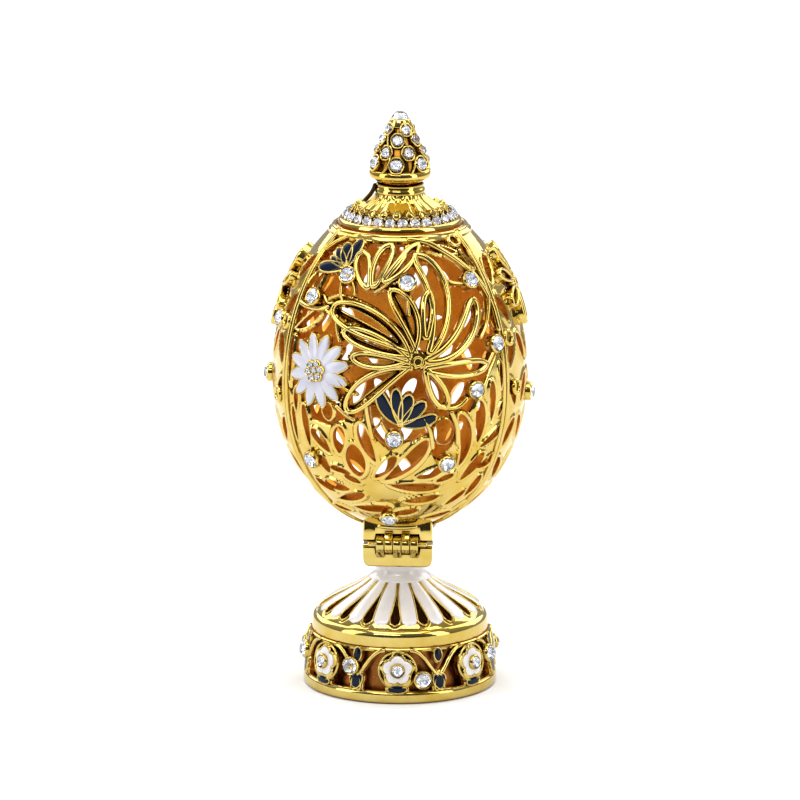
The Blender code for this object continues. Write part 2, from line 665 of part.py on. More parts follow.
def cradle(top, collection):
    """The lower hinge block: a plate with two rounded lower corners, seen from the front."""
    outline = [(BLOCK_HALF_WIDTH, top), (-BLOCK_HALF_WIDTH, top)]
    for side in (-1, 1):
        corner = (side * (BLOCK_HALF_WIDTH - CRADLE_CORNER), top - CRADLE_HEIGHT + CRADLE_CORNER)
        for degrees in (0, 45, 90)[::-side]:
            turn = math.radians(degrees)
            outline.append((corner[0] + side * CRADLE_CORNER * math.cos(turn),
                            corner[1] - CRADLE_CORNER * math.sin(turn)))
    count = len(outline)
    points = [(x, y, z) for y in (-BLOCK_FRONT, -BLOCK_FRONT + CRADLE_DEPTH) for x, z in outline]
    faces = [tuple(range(count)), tuple(range(2 * count - 1, count - 1, -1))]
    faces += [(n, n + count, (n + 1) % count + count, (n + 1) % count) for n in range(count)]
    new_object("cradle", mesh_of("cradle", points, faces), collection)


def stand_piece(white):
    stand = turned("stand", stand_profile(), STAND_STEPS)
    raised, openings = tool_set("stand_raised"), tool_set("stand_openings")
    slit_inner = NECK_RADIUS + 0.24 * (SKIRT_RADIUS - NECK_RADIUS)
    slit_outer = NECK_RADIUS + 0.90 * (SKIRT_RADIUS - NECK_RADIUS)
    for index in range(SLIT_COUNT):
        radial_slot(f"slit_{index}", slit_inner, slit_outer, SLIT_TOP_WIDTH, SLIT_FOOT_WIDTH,
                    RIM_BASE + 0.0012, SKIRT_TOP, SLIT_TURN + 360.0 * index / SLIT_COUNT, openings)
    bay = 360.0 / FLOWER_COUNT
    middle = (RING_HEIGHT + RIM_BASE) / 2
    for index in range(FLOWER_COUNT):
        turn = FLOWER_TURN + bay * index
        drum_prism(f"flower_{index}", turn, middle, flower_outline(FLOWER_RADIUS), -DRUM_WALL / 2,
                   FLOWER_LIFT, raised)
        aside = math.degrees((FLOWER_RADIUS + 0.75 * DRUM_SLOT_WIDTH) / drum_radius(middle))
        for side in (-1, 1):
            drum_prism(f"drum_slot_{index}_{side}", turn + side * aside, middle,
                       lens_outline(DRUM_SLOT_LENGTH, DRUM_SLOT_WIDTH), -STEP_BEYOND, STEP_BEYOND / 2, openings)
        drum_prism(f"drum_window_{index}", turn + bay / 2, middle + 0.0016,
                   lens_outline(DRUM_SLOT_WIDTH * 1.5, DRUM_SLOT_WIDTH * 1.9), -STEP_BEYOND, STEP_BEYOND / 2,
                   openings)
        stone_turn, stone_height = drum_stone_place(index)
        mesh = disc_mesh(f"drum_boss_{index}", DRUM_STONE_RADIUS + BOSS_MARGIN, -DRUM_WALL / 2, FLOWER_LIFT, 7)
        angle = math.radians(stone_turn)
        outward = Vector((math.sin(angle), -math.cos(angle), 0.0))
        mesh.transform(frame_on(outward * drum_radius(stone_height) + Vector((0, 0, stone_height)), outward))
        new_object(f"drum_boss_{index}", mesh, raised)
    cradle_top = HINGE_HEIGHT - FIT_GAP
    cradle(cradle_top, raised)
    box("cup_notch", (-BLOCK_HALF_WIDTH - FIT_GAP, -2 * CUP_RADIUS, cradle_top),
        (BLOCK_HALF_WIDTH + FIT_GAP, -BLOCK_FRONT + DOOR_BLOCK_DEPTH + FIT_GAP, STAND_HEIGHT + STEP_BEYOND),
        openings)
    boolean(stand, "UNION", collection=raised)
    boolean(stand, "DIFFERENCE", collection=openings)
    knuckles, rooms = tool_set("cradle_knuckles"), tool_set("cradle_rooms")
    hinge_leaf(knuckles, rooms, (0, 2, 4), (1, 3), "cradle")
    boolean(stand, "UNION", collection=knuckles)
    boolean(stand, "DIFFERENCE", collection=rooms)
    dissolve(stand, FLAT_ENOUGH)
    return dress(stand, white)


def lofted(name, rings):
    """A closed solid through rings of as many points each, with a flat end on the first and last."""
    count = len(rings[0])
    points = [p for ring in rings for p in ring]
    faces = [tuple(range(count)), tuple(range(len(points) - 1, len(points) - count - 1, -1))]
    for row in range(len(rings) - 1):
        start = row * count
        for n in range(count):
            m = (n + 1) % count
            a, b, c, d = start + n, start + m, start + count + m, start + count + n
            if (n + row) % 2:
                faces += [(a, d, b), (b, d, c)]
            else:
                faces += [(a, d, c), (a, c, b)]
    return new_object(name, mesh_of(name, points, faces))


def lobed_ring(radius, height, depth, sides, shift=0):
    """A ring whose every second point lies deeper by depth."""
    ring = []
    for n in range(sides):
        angle = 2 * math.pi * n / sides
        reach = radius - (depth if (n + shift) % 2 else 0.0)
        ring.append((reach * math.sin(angle), -reach * math.cos(angle), height))
    return ring


def collar_piece(gold):
    """Gold band, stone seat, leaf crown, fluted neck and small ring, with flutes all round."""
    sides = 2 * FLUTE_COUNT
    top = COLLAR_BASE + COLLAR_HEIGHT
    steps = (
        (EGG_TOP_RADIUS - 0.0004, 0.0, 0.0), (EGG_TOP_RADIUS - 0.0017, 0.0009, 0.0),
        (CROWN_RADIUS + 0.0004, 0.0020, 0.0), (CROWN_RADIUS, 0.0028, FLUTE_DEPTH),
        (CROWN_RADIUS - 0.0005, 0.0036, FLUTE_DEPTH), (COLLAR_NECK_RADIUS + 0.0016, 0.0043, FLUTE_DEPTH),
        (COLLAR_NECK_RADIUS, 0.0051, FLUTE_DEPTH / 2), (COLLAR_NECK_RADIUS + 0.0002, 0.0058, 0.0),
        (COLLAR_NECK_RADIUS - 0.0001, COLLAR_HEIGHT - 0.0006, 0.0), (FINIAL_FOOT_RADIUS, COLLAR_HEIGHT, 0.0),
    )
    rings = [lobed_ring(radius, COLLAR_BASE + rise, depth, sides) for radius, rise, depth in steps]
    collar = lofted("collar", rings)
    route = [(-COLLAR_NECK_RADIUS + 0.0004, top - 0.0012), (-COLLAR_NECK_RADIUS - 0.0007, top - 0.0026),
             (-CROWN_RADIUS + 0.0015, COLLAR_BASE + 0.0033)]
    curve = bpy.data.curves.new("collar_brace", "CURVE")
    curve.dimensions = "3D"
    curve.bevel_depth = BRACE_RADIUS
    curve.bevel_resolution = 1
    curve.use_fill_caps = True
    spline = curve.splines.new("POLY")
    spline.points.add(len(route) - 1)
    for point, (x, z) in zip(spline.points, route):
        point.co = (x, 0.0, z, 1.0)
    bent = bpy.data.objects.new("collar_brace_curve", curve)
    bpy.context.scene.collection.objects.link(bent)
    graph = bpy.context.evaluated_depsgraph_get()
    mesh = bpy.data.meshes.new_from_object(bent.evaluated_get(graph))
    shape = bmesh.new()
    shape.from_mesh(mesh)
    bmesh.ops.remove_doubles(shape, verts=shape.verts, dist=0.000001)
    bmesh.ops.recalc_face_normals(shape, faces=shape.faces)
    shape.to_mesh(mesh)
    shape.free()
    brace = new_object("collar_brace", mesh, tools)
    brace.matrix_world = bent.matrix_world.copy()
    bpy.data.objects.remove(bent, do_unlink=True)
    boolean(collar, "UNION", tool=brace)
    return dress(collar, gold)


def finial_piece(gold):
    """A cone of rhombic cells: ring by ring, the ridges and the sunk cell centres change places."""
    sides = 2 * FINIAL_CELLS
    rings = [lobed_ring(FINIAL_FOOT_RADIUS, FINIAL_BASE, 0.0, sides),
             lobed_ring(FINIAL_RADIUS - 0.0007, FINIAL_BASE + 0.0007, 0.0, sides),
             lobed_ring(FINIAL_RADIUS, FINIAL_BASE + 0.0014, 0.0, sides)]
    first = 0.0022
    for row in range(FINIAL_ROWS + 1):
        share = row / FINIAL_ROWS
        bulge = 1 - share ** 1.25
        radius = FINIAL_TOP_RADIUS + (FINIAL_RADIUS - 0.0002 - FINIAL_TOP_RADIUS) * bulge
        depth = 0.0 if row == FINIAL_ROWS else CELL_DEPTH * (1 - 0.5 * share)
        rings.append(lobed_ring(radius, FINIAL_BASE + first + (FINIAL_HEIGHT - first) * share, depth, sides, row))
    return dress(lofted("finial", rings), gold)


def crystals(clear):
    egg_stone = crystal_mesh("egg_stone", STONE_RADIUS, STONE_HEIGHT)
    for index, (azimuth, share) in enumerate(DOOR_STONES):
        stone = new_object(f"door_stone_{index + 1:02d}", egg_stone)
        stone.matrix_world = egg_frame(azimuth, share, PETAL_LIFT + BOSS_RISE + STONE_GAP)
    for index, (azimuth, share) in enumerate(SHELL_STONES):
        stone = new_object(f"shell_stone_{index + 1:02d}", egg_stone)
        stone.matrix_world = egg_frame(azimuth, share, PETAL_LIFT + BOSS_RISE + STONE_GAP)
    drum_stone = crystal_mesh("drum_stone", DRUM_STONE_RADIUS, STONE_HEIGHT)
    for index in range(FLOWER_COUNT):
        turn, height = drum_stone_place(index)
        angle = math.radians(turn)
        outward = Vector((math.sin(angle), -math.cos(angle), 0.0))
        stone = new_object(f"drum_stone_{index + 1:02d}", drum_stone)
        reach = drum_radius(height) + FLOWER_LIFT + STONE_GAP
        stone.matrix_world = frame_on(outward * reach + Vector((0, 0, height)), outward)
    top = new_object("finial_stone", crystal_mesh("finial_stone", TOP_STONE_RADIUS, TOP_STONE_HEIGHT))
    top.location = (0.0, 0.0, FINIAL_BASE + FINIAL_HEIGHT + STONE_GAP)
    egg_stone.materials.append(clear)
    drum_stone.materials.append(clear)
    top.data.materials.append(clear)


def hinge_pin(gold):
    reach = BARREL_LENGTH / 2 + PIN_OVERHANG
    pin = rod_along_x("hinge_pin", PIN_RADIUS, -reach, reach, steps=12)
    smooth(pin)
    return dress(pin, gold)


def build():
    fresh_start()
    gold = finish("gold_plate", (0.72, 0.53, 0.13), 0.16, 1.0)
    white = finish("white_enamel", (0.84, 0.82, 0.80), 0.18, 0.0)
    clear = finish("clear_crystal", (0.95, 0.95, 0.97), 0.04, 0.0)
    stand_piece(white)
    egg_back(gold)
    egg_door(gold)
    hinge_pin(gold)
    collar_piece(gold)
    finial_piece(gold)
    crystals(clear)


build()
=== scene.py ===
"""The finished look of the jewelled egg trinket box, modelled round its CAD part.

Lengths are in millimetres while a surface is worked out and in metres in the finished mesh.
The egg's axis is x = y = 0 and the front, with the hinge, looks along -Y. An azimuth is measured
from the front towards +X in degrees. A spot on a turned ground is (azimuth, length), the length
being measured up along the ground's profile, and a drawing round a spot has u to the right along
the parallel and v up along the profile.
"""

import math

import bpy
import numpy as np
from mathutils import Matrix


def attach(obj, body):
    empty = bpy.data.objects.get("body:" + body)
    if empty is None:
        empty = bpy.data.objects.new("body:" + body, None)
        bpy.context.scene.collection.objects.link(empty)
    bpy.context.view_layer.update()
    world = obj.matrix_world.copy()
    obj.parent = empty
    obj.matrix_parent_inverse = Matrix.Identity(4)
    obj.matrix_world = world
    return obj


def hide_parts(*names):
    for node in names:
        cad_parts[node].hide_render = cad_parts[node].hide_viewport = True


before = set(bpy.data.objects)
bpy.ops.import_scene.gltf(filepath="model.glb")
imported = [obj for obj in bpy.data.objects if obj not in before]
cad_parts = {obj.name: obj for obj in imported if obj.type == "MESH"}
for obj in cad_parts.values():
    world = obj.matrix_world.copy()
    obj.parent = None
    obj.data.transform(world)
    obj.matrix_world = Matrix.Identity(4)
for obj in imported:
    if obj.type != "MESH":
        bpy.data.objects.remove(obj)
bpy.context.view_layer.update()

MM = 0.001
STAND_BODY = "stand_and_shell"
DOOR_BODY = "door"

# Stand
RING_RADIUS = 18.45
RING_HEIGHT = 2.2
DRUM_TOP_RADIUS = 17.15
DRUM_TOP = 10.4
RIM_RADIUS = 16.85
SKIRT_FOOT = 13.6
SKIRT_RADIUS = 16.1
SKIRT_HEIGHT = 8.2
SKIRT_STRAIGHTNESS = 0.35
NECK_RADIUS = 4.7
CUP_RADIUS = 7.0
STAND_TOP = 30.75
SLITS = 17
SLIT_TURN = 0.4
FLOWERS = 7
FLOWER_TURN = 2.5
FLOWER_HEIGHT = 6.5
FLOWER_RADIUS = 2.75
DRUM_WALL = 1.0
# Crystals of the drum: share of the way from one flower to the next, and height
DRUM_STONES = (
    (0.29, 4.6), (0.35, 7.0), (0.36, 5.2), (0.40, 6.6), (0.36, 5.0), (0.47, 6.8), (0.43, 6.8),
)

# Egg
EGG_RADIUS = 24.0
EGG_UPPER_HALF = 33.9
EGG_LOWER_HALF = 29.6
EGG_CENTRE = 60.0
EGG_FOOT = 31.05
EGG_TOP = 89.36
EGG_WALL = 1.1
DOOR_EDGE = 59.5
SHELL_EDGE = 60.5
STONE_RADIUS = 1.5
STONE_SEAT = 1.1
STONE_HEIGHT = 0.80
# Angles in degrees past which a crystal and its foil keep a sharp edge
CRYSTAL_EDGE = 3.0
FOIL_EDGE = 20.0

# Hinge
BLOCK_HALF_WIDTH = 6.6
BLOCK_FRONT = -7.0
HINGE_HEIGHT = 28.4
BARREL_HALF = 4.05
KNUCKLE_RADIUS = 1.75
PIN_RADIUS = 0.55

# Collar
COLLAR_BASE = 89.66


def linear(code):
    """An sRGB hex colour as linear light: each channel c becomes ((c + 0.055) / 1.055) ** 2.4."""
    channels = [int(code[n:n + 2], 16) / 255 for n in (1, 3, 5)]
    return tuple(c / 12.92 if c <= 0.04045 else ((c + 0.055) / 1.055) ** 2.4 for c in channels)


def turns(steps, shift=0.0):
    """Even angles round a circle in radians, moved on by a share of a step."""
    return 2 * np.pi * (np.arange(steps) + shift) / steps


def round_axis(radius, azimuth, height):
    """Points round the egg's axis: x = r sin a, y = -r cos a, z = h."""
    return np.stack(np.broadcast_arrays(radius * np.sin(azimuth), -radius * np.cos(azimuth), height), axis=-1)


def round_pin(radius, x, steps):
    """A circle round the hinge's axis at x."""
    turn = turns(steps)
    return np.stack([np.full(steps, x), BLOCK_FRONT + radius * np.cos(turn),
                     HINGE_HEIGHT + radius * np.sin(turn)], axis=1)


def level_side(out):
    """The level direction along a surface whose outward direction is given."""
    side = np.cross([0.0, 0.0, 1.0], out)
    return side / np.linalg.norm(side)


# Grounds that ornaments are laid on

class Ground:
    """A surface turned round Z from a profile that runs upwards, with lengths along the profile."""

    def __init__(self, radii, heights):
        """Works out the lengths, and the outward direction at each point of the profile."""
        self.radii = np.asarray(radii, float)
        self.heights = np.asarray(heights, float)
        steps = np.hypot(np.diff(self.radii), np.diff(self.heights))
        self.lengths = np.concatenate([[0.0], np.cumsum(steps)])
        across, up = np.gradient(self.radii, self.lengths), np.gradient(self.heights, self.lengths)
        size = np.hypot(across, up)
        self.out_across, self.out_up = up / size, -across / size

    def length_at(self, height):
        """The length along the profile at a height."""
        return np.interp(height, self.heights, self.lengths)

    def radius_at(self, length):
        """The radius at a length along the profile."""
        return np.interp(length, self.lengths, self.radii)

    def spots(self, centre, drawing):
        """A drawing round (azimuth, height), as spots: u turns into degrees at the local radius."""
        drawing = np.atleast_2d(drawing)
        length = self.length_at(centre[1]) + drawing[:, 1]
        radius = np.maximum(self.radius_at(length), 1.0)
        return np.stack([centre[0] + np.degrees(drawing[:, 0] / radius), length], axis=1)

    def normal(self, spots):
        """The outward direction at each spot: the profile's, turned to the spot's azimuth."""
        across = np.interp(spots[..., 1], self.lengths, self.out_across)
        up = np.interp(spots[..., 1], self.lengths, self.out_up)
        return round_axis(across, np.radians(spots[..., 0]), up)

    def point(self, spots, lift=0.0):
        """The place of each spot, moved outwards by the lift."""
        radius = np.interp(spots[..., 1], self.lengths, self.radii)
        height = np.interp(spots[..., 1], self.lengths, self.heights)
        base = round_axis(radius, np.radians(spots[..., 0]), height)
        return base + self.normal(spots) * np.asarray(lift)[..., None]


def egg_ground():
    """Two half ellipses that meet at the widest height, sampled evenly in their angle."""
    low = math.asin((EGG_FOOT - EGG_CENTRE) / EGG_LOWER_HALF)
    high = math.asin((EGG_TOP - EGG_CENTRE) / EGG_UPPER_HALF)
    angle = np.linspace(low, high, 500)
    half = np.where(angle > 0, EGG_UPPER_HALF, EGG_LOWER_HALF)
    return Ground(EGG_RADIUS * np.cos(angle), EGG_CENTRE + half * np.sin(angle))


def skirt_ground():
    """An ogee: part straight line, part squared sine, from the rim up to the neck."""
    share = np.linspace(1.0, 0.0, 200)
    flare = SKIRT_STRAIGHTNESS * share + (1 - SKIRT_STRAIGHTNESS) * np.sin(np.pi / 2 * share) ** 2
    radii = NECK_RADIUS + (SKIRT_RADIUS - NECK_RADIUS) * flare
    return Ground(radii, SKIRT_FOOT + SKIRT_HEIGHT * (1 - share))


def drum_ground():
    """The drum's wall: a straight line that leans in a little, with a slight swell."""
    share = np.linspace(0.0, 1.0, 80)
    radii = RING_RADIUS - 0.25 + (DRUM_TOP_RADIUS - RING_RADIUS + 0.25) * share ** 1.25
    return Ground(radii, RING_HEIGHT - 0.6 + (DRUM_TOP - RING_HEIGHT + 0.8) * share)


EGG = egg_ground()
SKIRT = skirt_ground()
DRUM = drum_ground()


# Finished pieces

class Surface:
    """Collects points in millimetres and faces, with a finish number for each face."""

    def __init__(self):
        """Starts with nothing in it."""
        self.points, self.corners, self.sizes, self.finishes, self.count = [], [], [], [], 0

    def add(self, points, faces, finish=0):
        """Adds points, and groups of faces that number those points from nought."""
        points = np.asarray(points, float).reshape(-1, 3)
        for group in faces:
            group = np.asarray(group, int)
            self.corners.append(group.ravel() + self.count)
            self.sizes.append(np.full(len(group), group.shape[1]))
            self.finishes.append(np.full(len(group), finish))
        self.points.append(points)
        self.count += len(points)


def object_of(name, surface, materials, sharp):
    """One object from a surface: its mesh in metres, smooth but for edges over an angle."""
    mesh = bpy.data.meshes.new(name)
    points = np.concatenate(surface.points) * MM
    corners, sizes = np.concatenate(surface.corners), np.concatenate(surface.sizes)
    mesh.vertices.add(len(points))
    mesh.vertices.foreach_set("co", points.astype(np.float32).ravel())
    mesh.loops.add(len(corners))
    mesh.loops.foreach_set("vertex_index", corners.astype(np.int32))
    mesh.polygons.add(len(sizes))
    mesh.polygons.foreach_set("loop_start", np.concatenate([[0], np.cumsum(sizes)[:-1]]).astype(np.int32))
    mesh.polygons.foreach_set("material_index", np.concatenate(surface.finishes).astype(np.int32))
    mesh.update(calc_edges=True)
    mesh.validate()
    mesh.shade_smooth()
    mesh.set_sharp_from_angle(angle=math.radians(sharp))
    for material in materials:
        mesh.materials.append(material)
    thing = bpy.data.objects.new(name, mesh)
    bpy.context.scene.collection.objects.link(thing)
    return thing


def piece(name, surface, materials, body, replaced=(), sharp=35.0):
    """A finished piece that moves with a body and stands in for the named nodes."""
    thing = object_of(name, surface, materials, sharp)
    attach(thing, body)
    if replaced:
        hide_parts(*replaced)


def skin(rows, columns, closed=False):
    """Four-cornered faces between neighbouring rows of points. A closed skin joins its last
    column to its first."""
    last = columns if closed else columns - 1
    row, column = np.meshgrid(np.arange(rows - 1), np.arange(last), indexing="ij")
    after = (column + 1) % columns
    faces = np.stack([row * columns + column, row * columns + after,
                      (row + 1) * columns + after, (row + 1) * columns + column], axis=-1)
    return faces.reshape(-1, 4)


def loft(surface, rings, finish=0, closed=False):
    """A skin through rings of points. Its ends are shut by fans round the middle of each end ring,
    or a closed loft joins its last ring to its first."""
    rings = np.asarray(rings, float)
    count, sides = rings.shape[:2]
    if closed:
        rings = np.concatenate([rings, rings[:1]])
        faces = skin(count + 1, sides, closed=True) % (count * sides)
        surface.add(rings[:count], [faces[:, ::-1]], finish)
        return
    middle = np.stack([rings[0].mean(axis=0), rings[-1].mean(axis=0)])
    index = np.arange(sides)
    after = (index + 1) % sides
    start, end = count * sides, count * sides + 1
    low = np.stack([np.full(sides, start), index, after], axis=1)
    high = np.stack([np.full(sides, end), (count - 1) * sides + after, (count - 1) * sides + index], axis=1)
    surface.add(np.concatenate([rings.reshape(-1, 3), middle]),
                [skin(count, sides, closed=True)[:, ::-1], low, high], finish)


def turned_rings(profile, steps):
    """An outline of (radius, height) at even turns round Z."""
    profile = np.asarray(profile, float)
    return round_axis(profile[None, :, 0], turns(steps)[:, None], profile[None, :, 1])


def turned(surface, profile, steps):
    """A closed outline of (radius, height) turned all the way round Z."""
    loft(surface, turned_rings(profile, steps), closed=True)


def rounded(profile, radius, steps=4):
    """A closed outline whose corners are rounded by arcs, each no longer than its sides allow."""
    profile = np.asarray(profile, float)
    result = []
    for n in range(len(profile)):
        before, here, after = profile[n - 1], profile[n], profile[(n + 1) % len(profile)]
        first, second = before - here, after - here
        reach = min(radius, 0.45 * np.linalg.norm(first), 0.45 * np.linalg.norm(second))
        start = here + first / np.linalg.norm(first) * reach
        end = here + second / np.linalg.norm(second) * reach
        for share in np.linspace(0.0, 1.0, steps):
            result.append((1 - share) ** 2 * start + 2 * share * (1 - share) * here + share ** 2 * end)
    return np.array(result)


def curve_through(points, spacing, closed=False):
    """A smooth line through points: each span is the cubic set by its four nearest points."""
    points = np.asarray(points, float)
    count = len(points)
    if closed:
        padded = np.concatenate([points[-1:], points, points[:2]])
    else:
        padded = np.concatenate([[2 * points[0] - points[1]], points, [2 * points[-1] - points[-2]]])
    line = []
    for n in range(count if closed else count - 1):
        a, b, c, d = padded[n:n + 4]
        steps = max(2, int(math.ceil(np.linalg.norm(c - b) / spacing)))
        t = np.linspace(0.0, 1.0, steps, endpoint=False)[:, None]
        line.append(0.5 * (2 * b + (c - a) * t + (2 * a - 5 * b + 4 * c - d) * t ** 2
                           + (3 * b - a - 3 * c + d) * t ** 3))
    line = np.concatenate(line)
    return line if closed else np.concatenate([line, points[-1:]])


def bar(surface, ground, spots, half_width, rise, lift=0.0, sink=0.35, closed=False, sides=7):
    """A half-round bar that follows spots on a ground: at each spot an arc of the given half width
    and rise stands on the lifted ground, and its foot goes down by sink."""
    spots = np.asarray(spots, float)
    base, out = ground.point(spots), ground.normal(spots)
    if closed:
        along = np.roll(base, -1, axis=0) - np.roll(base, 1, axis=0)
    else:
        along = np.gradient(base, axis=0)
    across = np.cross(along, out)
    across /= np.maximum(np.linalg.norm(across, axis=1), 1e-9)[:, None]
    width = np.broadcast_to(half_width, len(spots)).astype(float)
    height = np.broadcast_to(rise, len(spots)).astype(float)
    if not closed:
        travel = np.concatenate([[0.0], np.cumsum(np.linalg.norm(np.diff(base, axis=0), axis=1))])
        nearest = np.minimum(travel, travel[-1] - travel)
        shrink = np.sqrt(np.clip(1 - (1 - np.clip(nearest / np.maximum(width, 1e-6), 0, 1)) ** 2, 0.02, 1))
        width, height = width * shrink, height * shrink
    turn = np.linspace(np.pi, 0.0, sides)
    side = np.concatenate([np.cos(turn), [1.0, -1.0]])
    up = np.concatenate([np.sin(turn), [0.0, 0.0]])
    down = np.concatenate([np.zeros(sides), [1.0, 1.0]])
    rings = (base[:, None] + across[:, None] * (width[:, None] * side)[..., None]
             + out[:, None] * (lift + height[:, None] * up - sink * down)[..., None])
    loft(surface, rings, closed=closed)


def ring_spots(ground, centre, radius, steps=28, squeeze=1.0):
    """Spots on a circle round a place, pressed together in height by squeeze."""
    turn = turns(steps)
    circle = np.stack([radius * np.cos(turn), radius * squeeze * np.sin(turn)], axis=1)
    return ground.spots(centre, circle)


def spot_at(ground, azimuth, height, drawing=(0.0, 0.0)):
    """One spot, at a point of the drawing round (azimuth, height)."""
    return ground.spots((azimuth, height), [drawing])[0]


def line_spots(azimuths, lengths):
    """Spots along a line, whose azimuth or length may be one number all the way."""
    return np.stack(np.broadcast_arrays(azimuths, lengths), axis=1).astype(float)


# Leaves and petals

LEAF_SAMPLES = 26


def leaf(centre, direction, length, half_width, bend=0.0, start=None, sharp=(1.0, 0.5)):
    """A bent leaf in (u, v): its spine turns evenly by bend degrees, and its half width follows
    s^a (1 - s)^b along the spine, scaled to the largest half width. It is centred on its place,
    or begins at start."""
    share = np.linspace(0.0, 1.0, LEAF_SAMPLES)
    heading = np.radians(direction + bend * (share - 0.5))
    step = length / (LEAF_SAMPLES - 1)
    middle = (heading[1:] + heading[:-1]) / 2
    strides = np.stack([np.cos(middle), np.sin(middle)], axis=1)
    walk = np.concatenate([[[0.0, 0.0]], np.cumsum(strides, axis=0)]) * step
    walk = walk - walk[LEAF_SAMPLES // 2] if start is None else walk + np.asarray(start, float)
    a, b = sharp
    widest = a / (a + b)
    shape = share ** a * (1 - share) ** b / (widest ** a * (1 - widest) ** b)
    return {"centre": centre, "spine": walk, "heading": heading, "width": half_width * shape}


def patch(centre, length, half_width):
    """A level strip of nearly even width, for plain metal round a place."""
    return leaf(centre, 0, length, half_width, sharp=(0.1, 0.1))


def outline(shape, margin):
    """A leaf's closed edge, moved outwards by a margin: both sides and a half round at either end."""
    heading, spine = shape["heading"], shape["spine"]
    normal = np.stack([-np.sin(heading), np.cos(heading)], axis=1)
    reach = (shape["width"] + margin)[:, None]
    half_round = np.linspace(0, np.pi, 7)[1:-1]
    ends = []
    for index, start in ((-1, heading[-1] + np.pi / 2), (0, heading[0] - np.pi / 2)):
        turn = start - half_round
        ends.append(spine[index] + margin * np.stack([np.cos(turn), np.sin(turn)], axis=1))
    return np.concatenate([spine + normal * reach, ends[0], (spine - normal * reach)[::-1], ends[1]])


def evenly(line, spacing):
    """A closed line cut into even steps."""
    line = np.concatenate([line, line[:1]])
    travel = np.concatenate([[0.0], np.cumsum(np.linalg.norm(np.diff(line, axis=0), axis=1))])
    steps = max(8, int(travel[-1] / spacing))
    at = np.linspace(0.0, travel[-1], steps, endpoint=False)
    return np.stack([np.interp(at, travel, line[:, 0]), np.interp(at, travel, line[:, 1])], axis=1)


def edge_bar(surface, ground, shape, margin, half_width, rise, lift, sink=0.35):
    """A bar round a leaf's edge."""
    line = evenly(outline(shape, margin), 0.38)
    bar(surface, ground, ground.spots(shape["centre"], line), half_width, rise, lift, sink, closed=True)


def pad(surface, ground, shape, inset, rise, lift, sink=0.3):
    """A leaf filled with a smooth cushion: a bar along the spine as wide as the leaf."""
    width = np.maximum(shape["width"] - inset, 0.02)
    bar(surface, ground, ground.spots(shape["centre"], shape["spine"]), width,
        rise * np.sqrt(width / width.max()), lift, sink, sides=11)


def edge_distance(ground, shape, points):
    """How far points lie outside a leaf: the least over its spine of distance minus half width."""
    centres = ground.point(ground.spots(shape["centre"], shape["spine"]))
    away = np.linalg.norm(points[:, None] - centres[None], axis=2) - shape["width"][None]
    return away.min(axis=1)


def soft_step(value):
    """A smooth step from 0 to 1: t t (3 - 2 t)."""
    value = np.clip(value, 0.0, 1.0)
    return value * value * (3 - 2 * value)


# Lengths in the sheets: far outside any leaf, the width over which a leaf's height fades in, and
# how far the metal falls at its openings and at its borders
NOWHERE = 9.0
OPENING_FALL = 0.45
CUT_ROUNDING = 0.16
BORDER_ROUNDING = 0.2


def sheet_edges(ground, margin=0.0, seams=None):
    """The outer limits of a sheet: both ends of its ground less a margin, and any seams."""
    def limits(grid):
        """How far each spot lies outside the limits."""
        ends = np.maximum(margin - grid[..., 1], grid[..., 1] - ground.lengths[-1] + margin)
        return ends if seams is None else np.maximum(seams(grid), ends)
    return limits


def pierced_sheet(surface, ground, azimuths, lengths, shapes, wall, edges, closed=False,
                  ground_sheet=None, depth=0.0):
    """A sheet on a grid of azimuth and length. Each shape is (leaf, border, height, height at its
    opening or None for no opening): the metal is where a point lies within the border of any leaf
    and in no leaf's opening. Faces are cut where that field crosses zero between grid points, the
    outer side is lifted by the last shape that covers it, and walls join it to the inner side. A
    ground sheet, where its field is below zero, lies at its own depth under all the shapes."""
    grid = np.stack(np.meshgrid(azimuths, lengths), axis=-1)
    points = ground.point(grid)
    solid = np.full(grid.shape[:2], NOWHERE) if ground_sheet is None else ground_sheet(grid)
    hole = np.full(grid.shape[:2], NOWHERE)
    lift = np.full(grid.shape[:2], float(depth))
    for shape, border, height, at_hole in shapes:
        places = ground.point(ground.spots(shape["centre"], shape["spine"]))
        middle = places[len(places) // 2]
        reach = np.linalg.norm(places - middle, axis=1).max() + shape["width"].max() + border + 0.8
        near = np.linalg.norm(points - middle, axis=2) < reach
        if not near.any():
            continue
        away = edge_distance(ground, shape, points[near])
        solid[near] = np.minimum(solid[near], away - border)
        inside = soft_step((border - away) / OPENING_FALL)
        rise = np.full(len(away), float(height))
        if at_hole is not None:
            hole[near] = np.minimum(hole[near], away)
            rise = at_hole + (height - at_hole) * soft_step(away / max(border, 0.1))
        lift[near] += (rise - lift[near]) * inside
    lift -= CUT_ROUNDING * (1 - soft_step(hole / 0.35))
    lift -= BORDER_ROUNDING * (1 - soft_step(-solid / 0.4))
    field = np.maximum(np.maximum(solid, -hole), edges(grid))
    cut_sheet(surface, ground, azimuths, lengths, field, lift, wall, closed)


# A face whose mean height is below this takes the finish of a hollow: a darker gold, painted shade
RECESS = -0.22


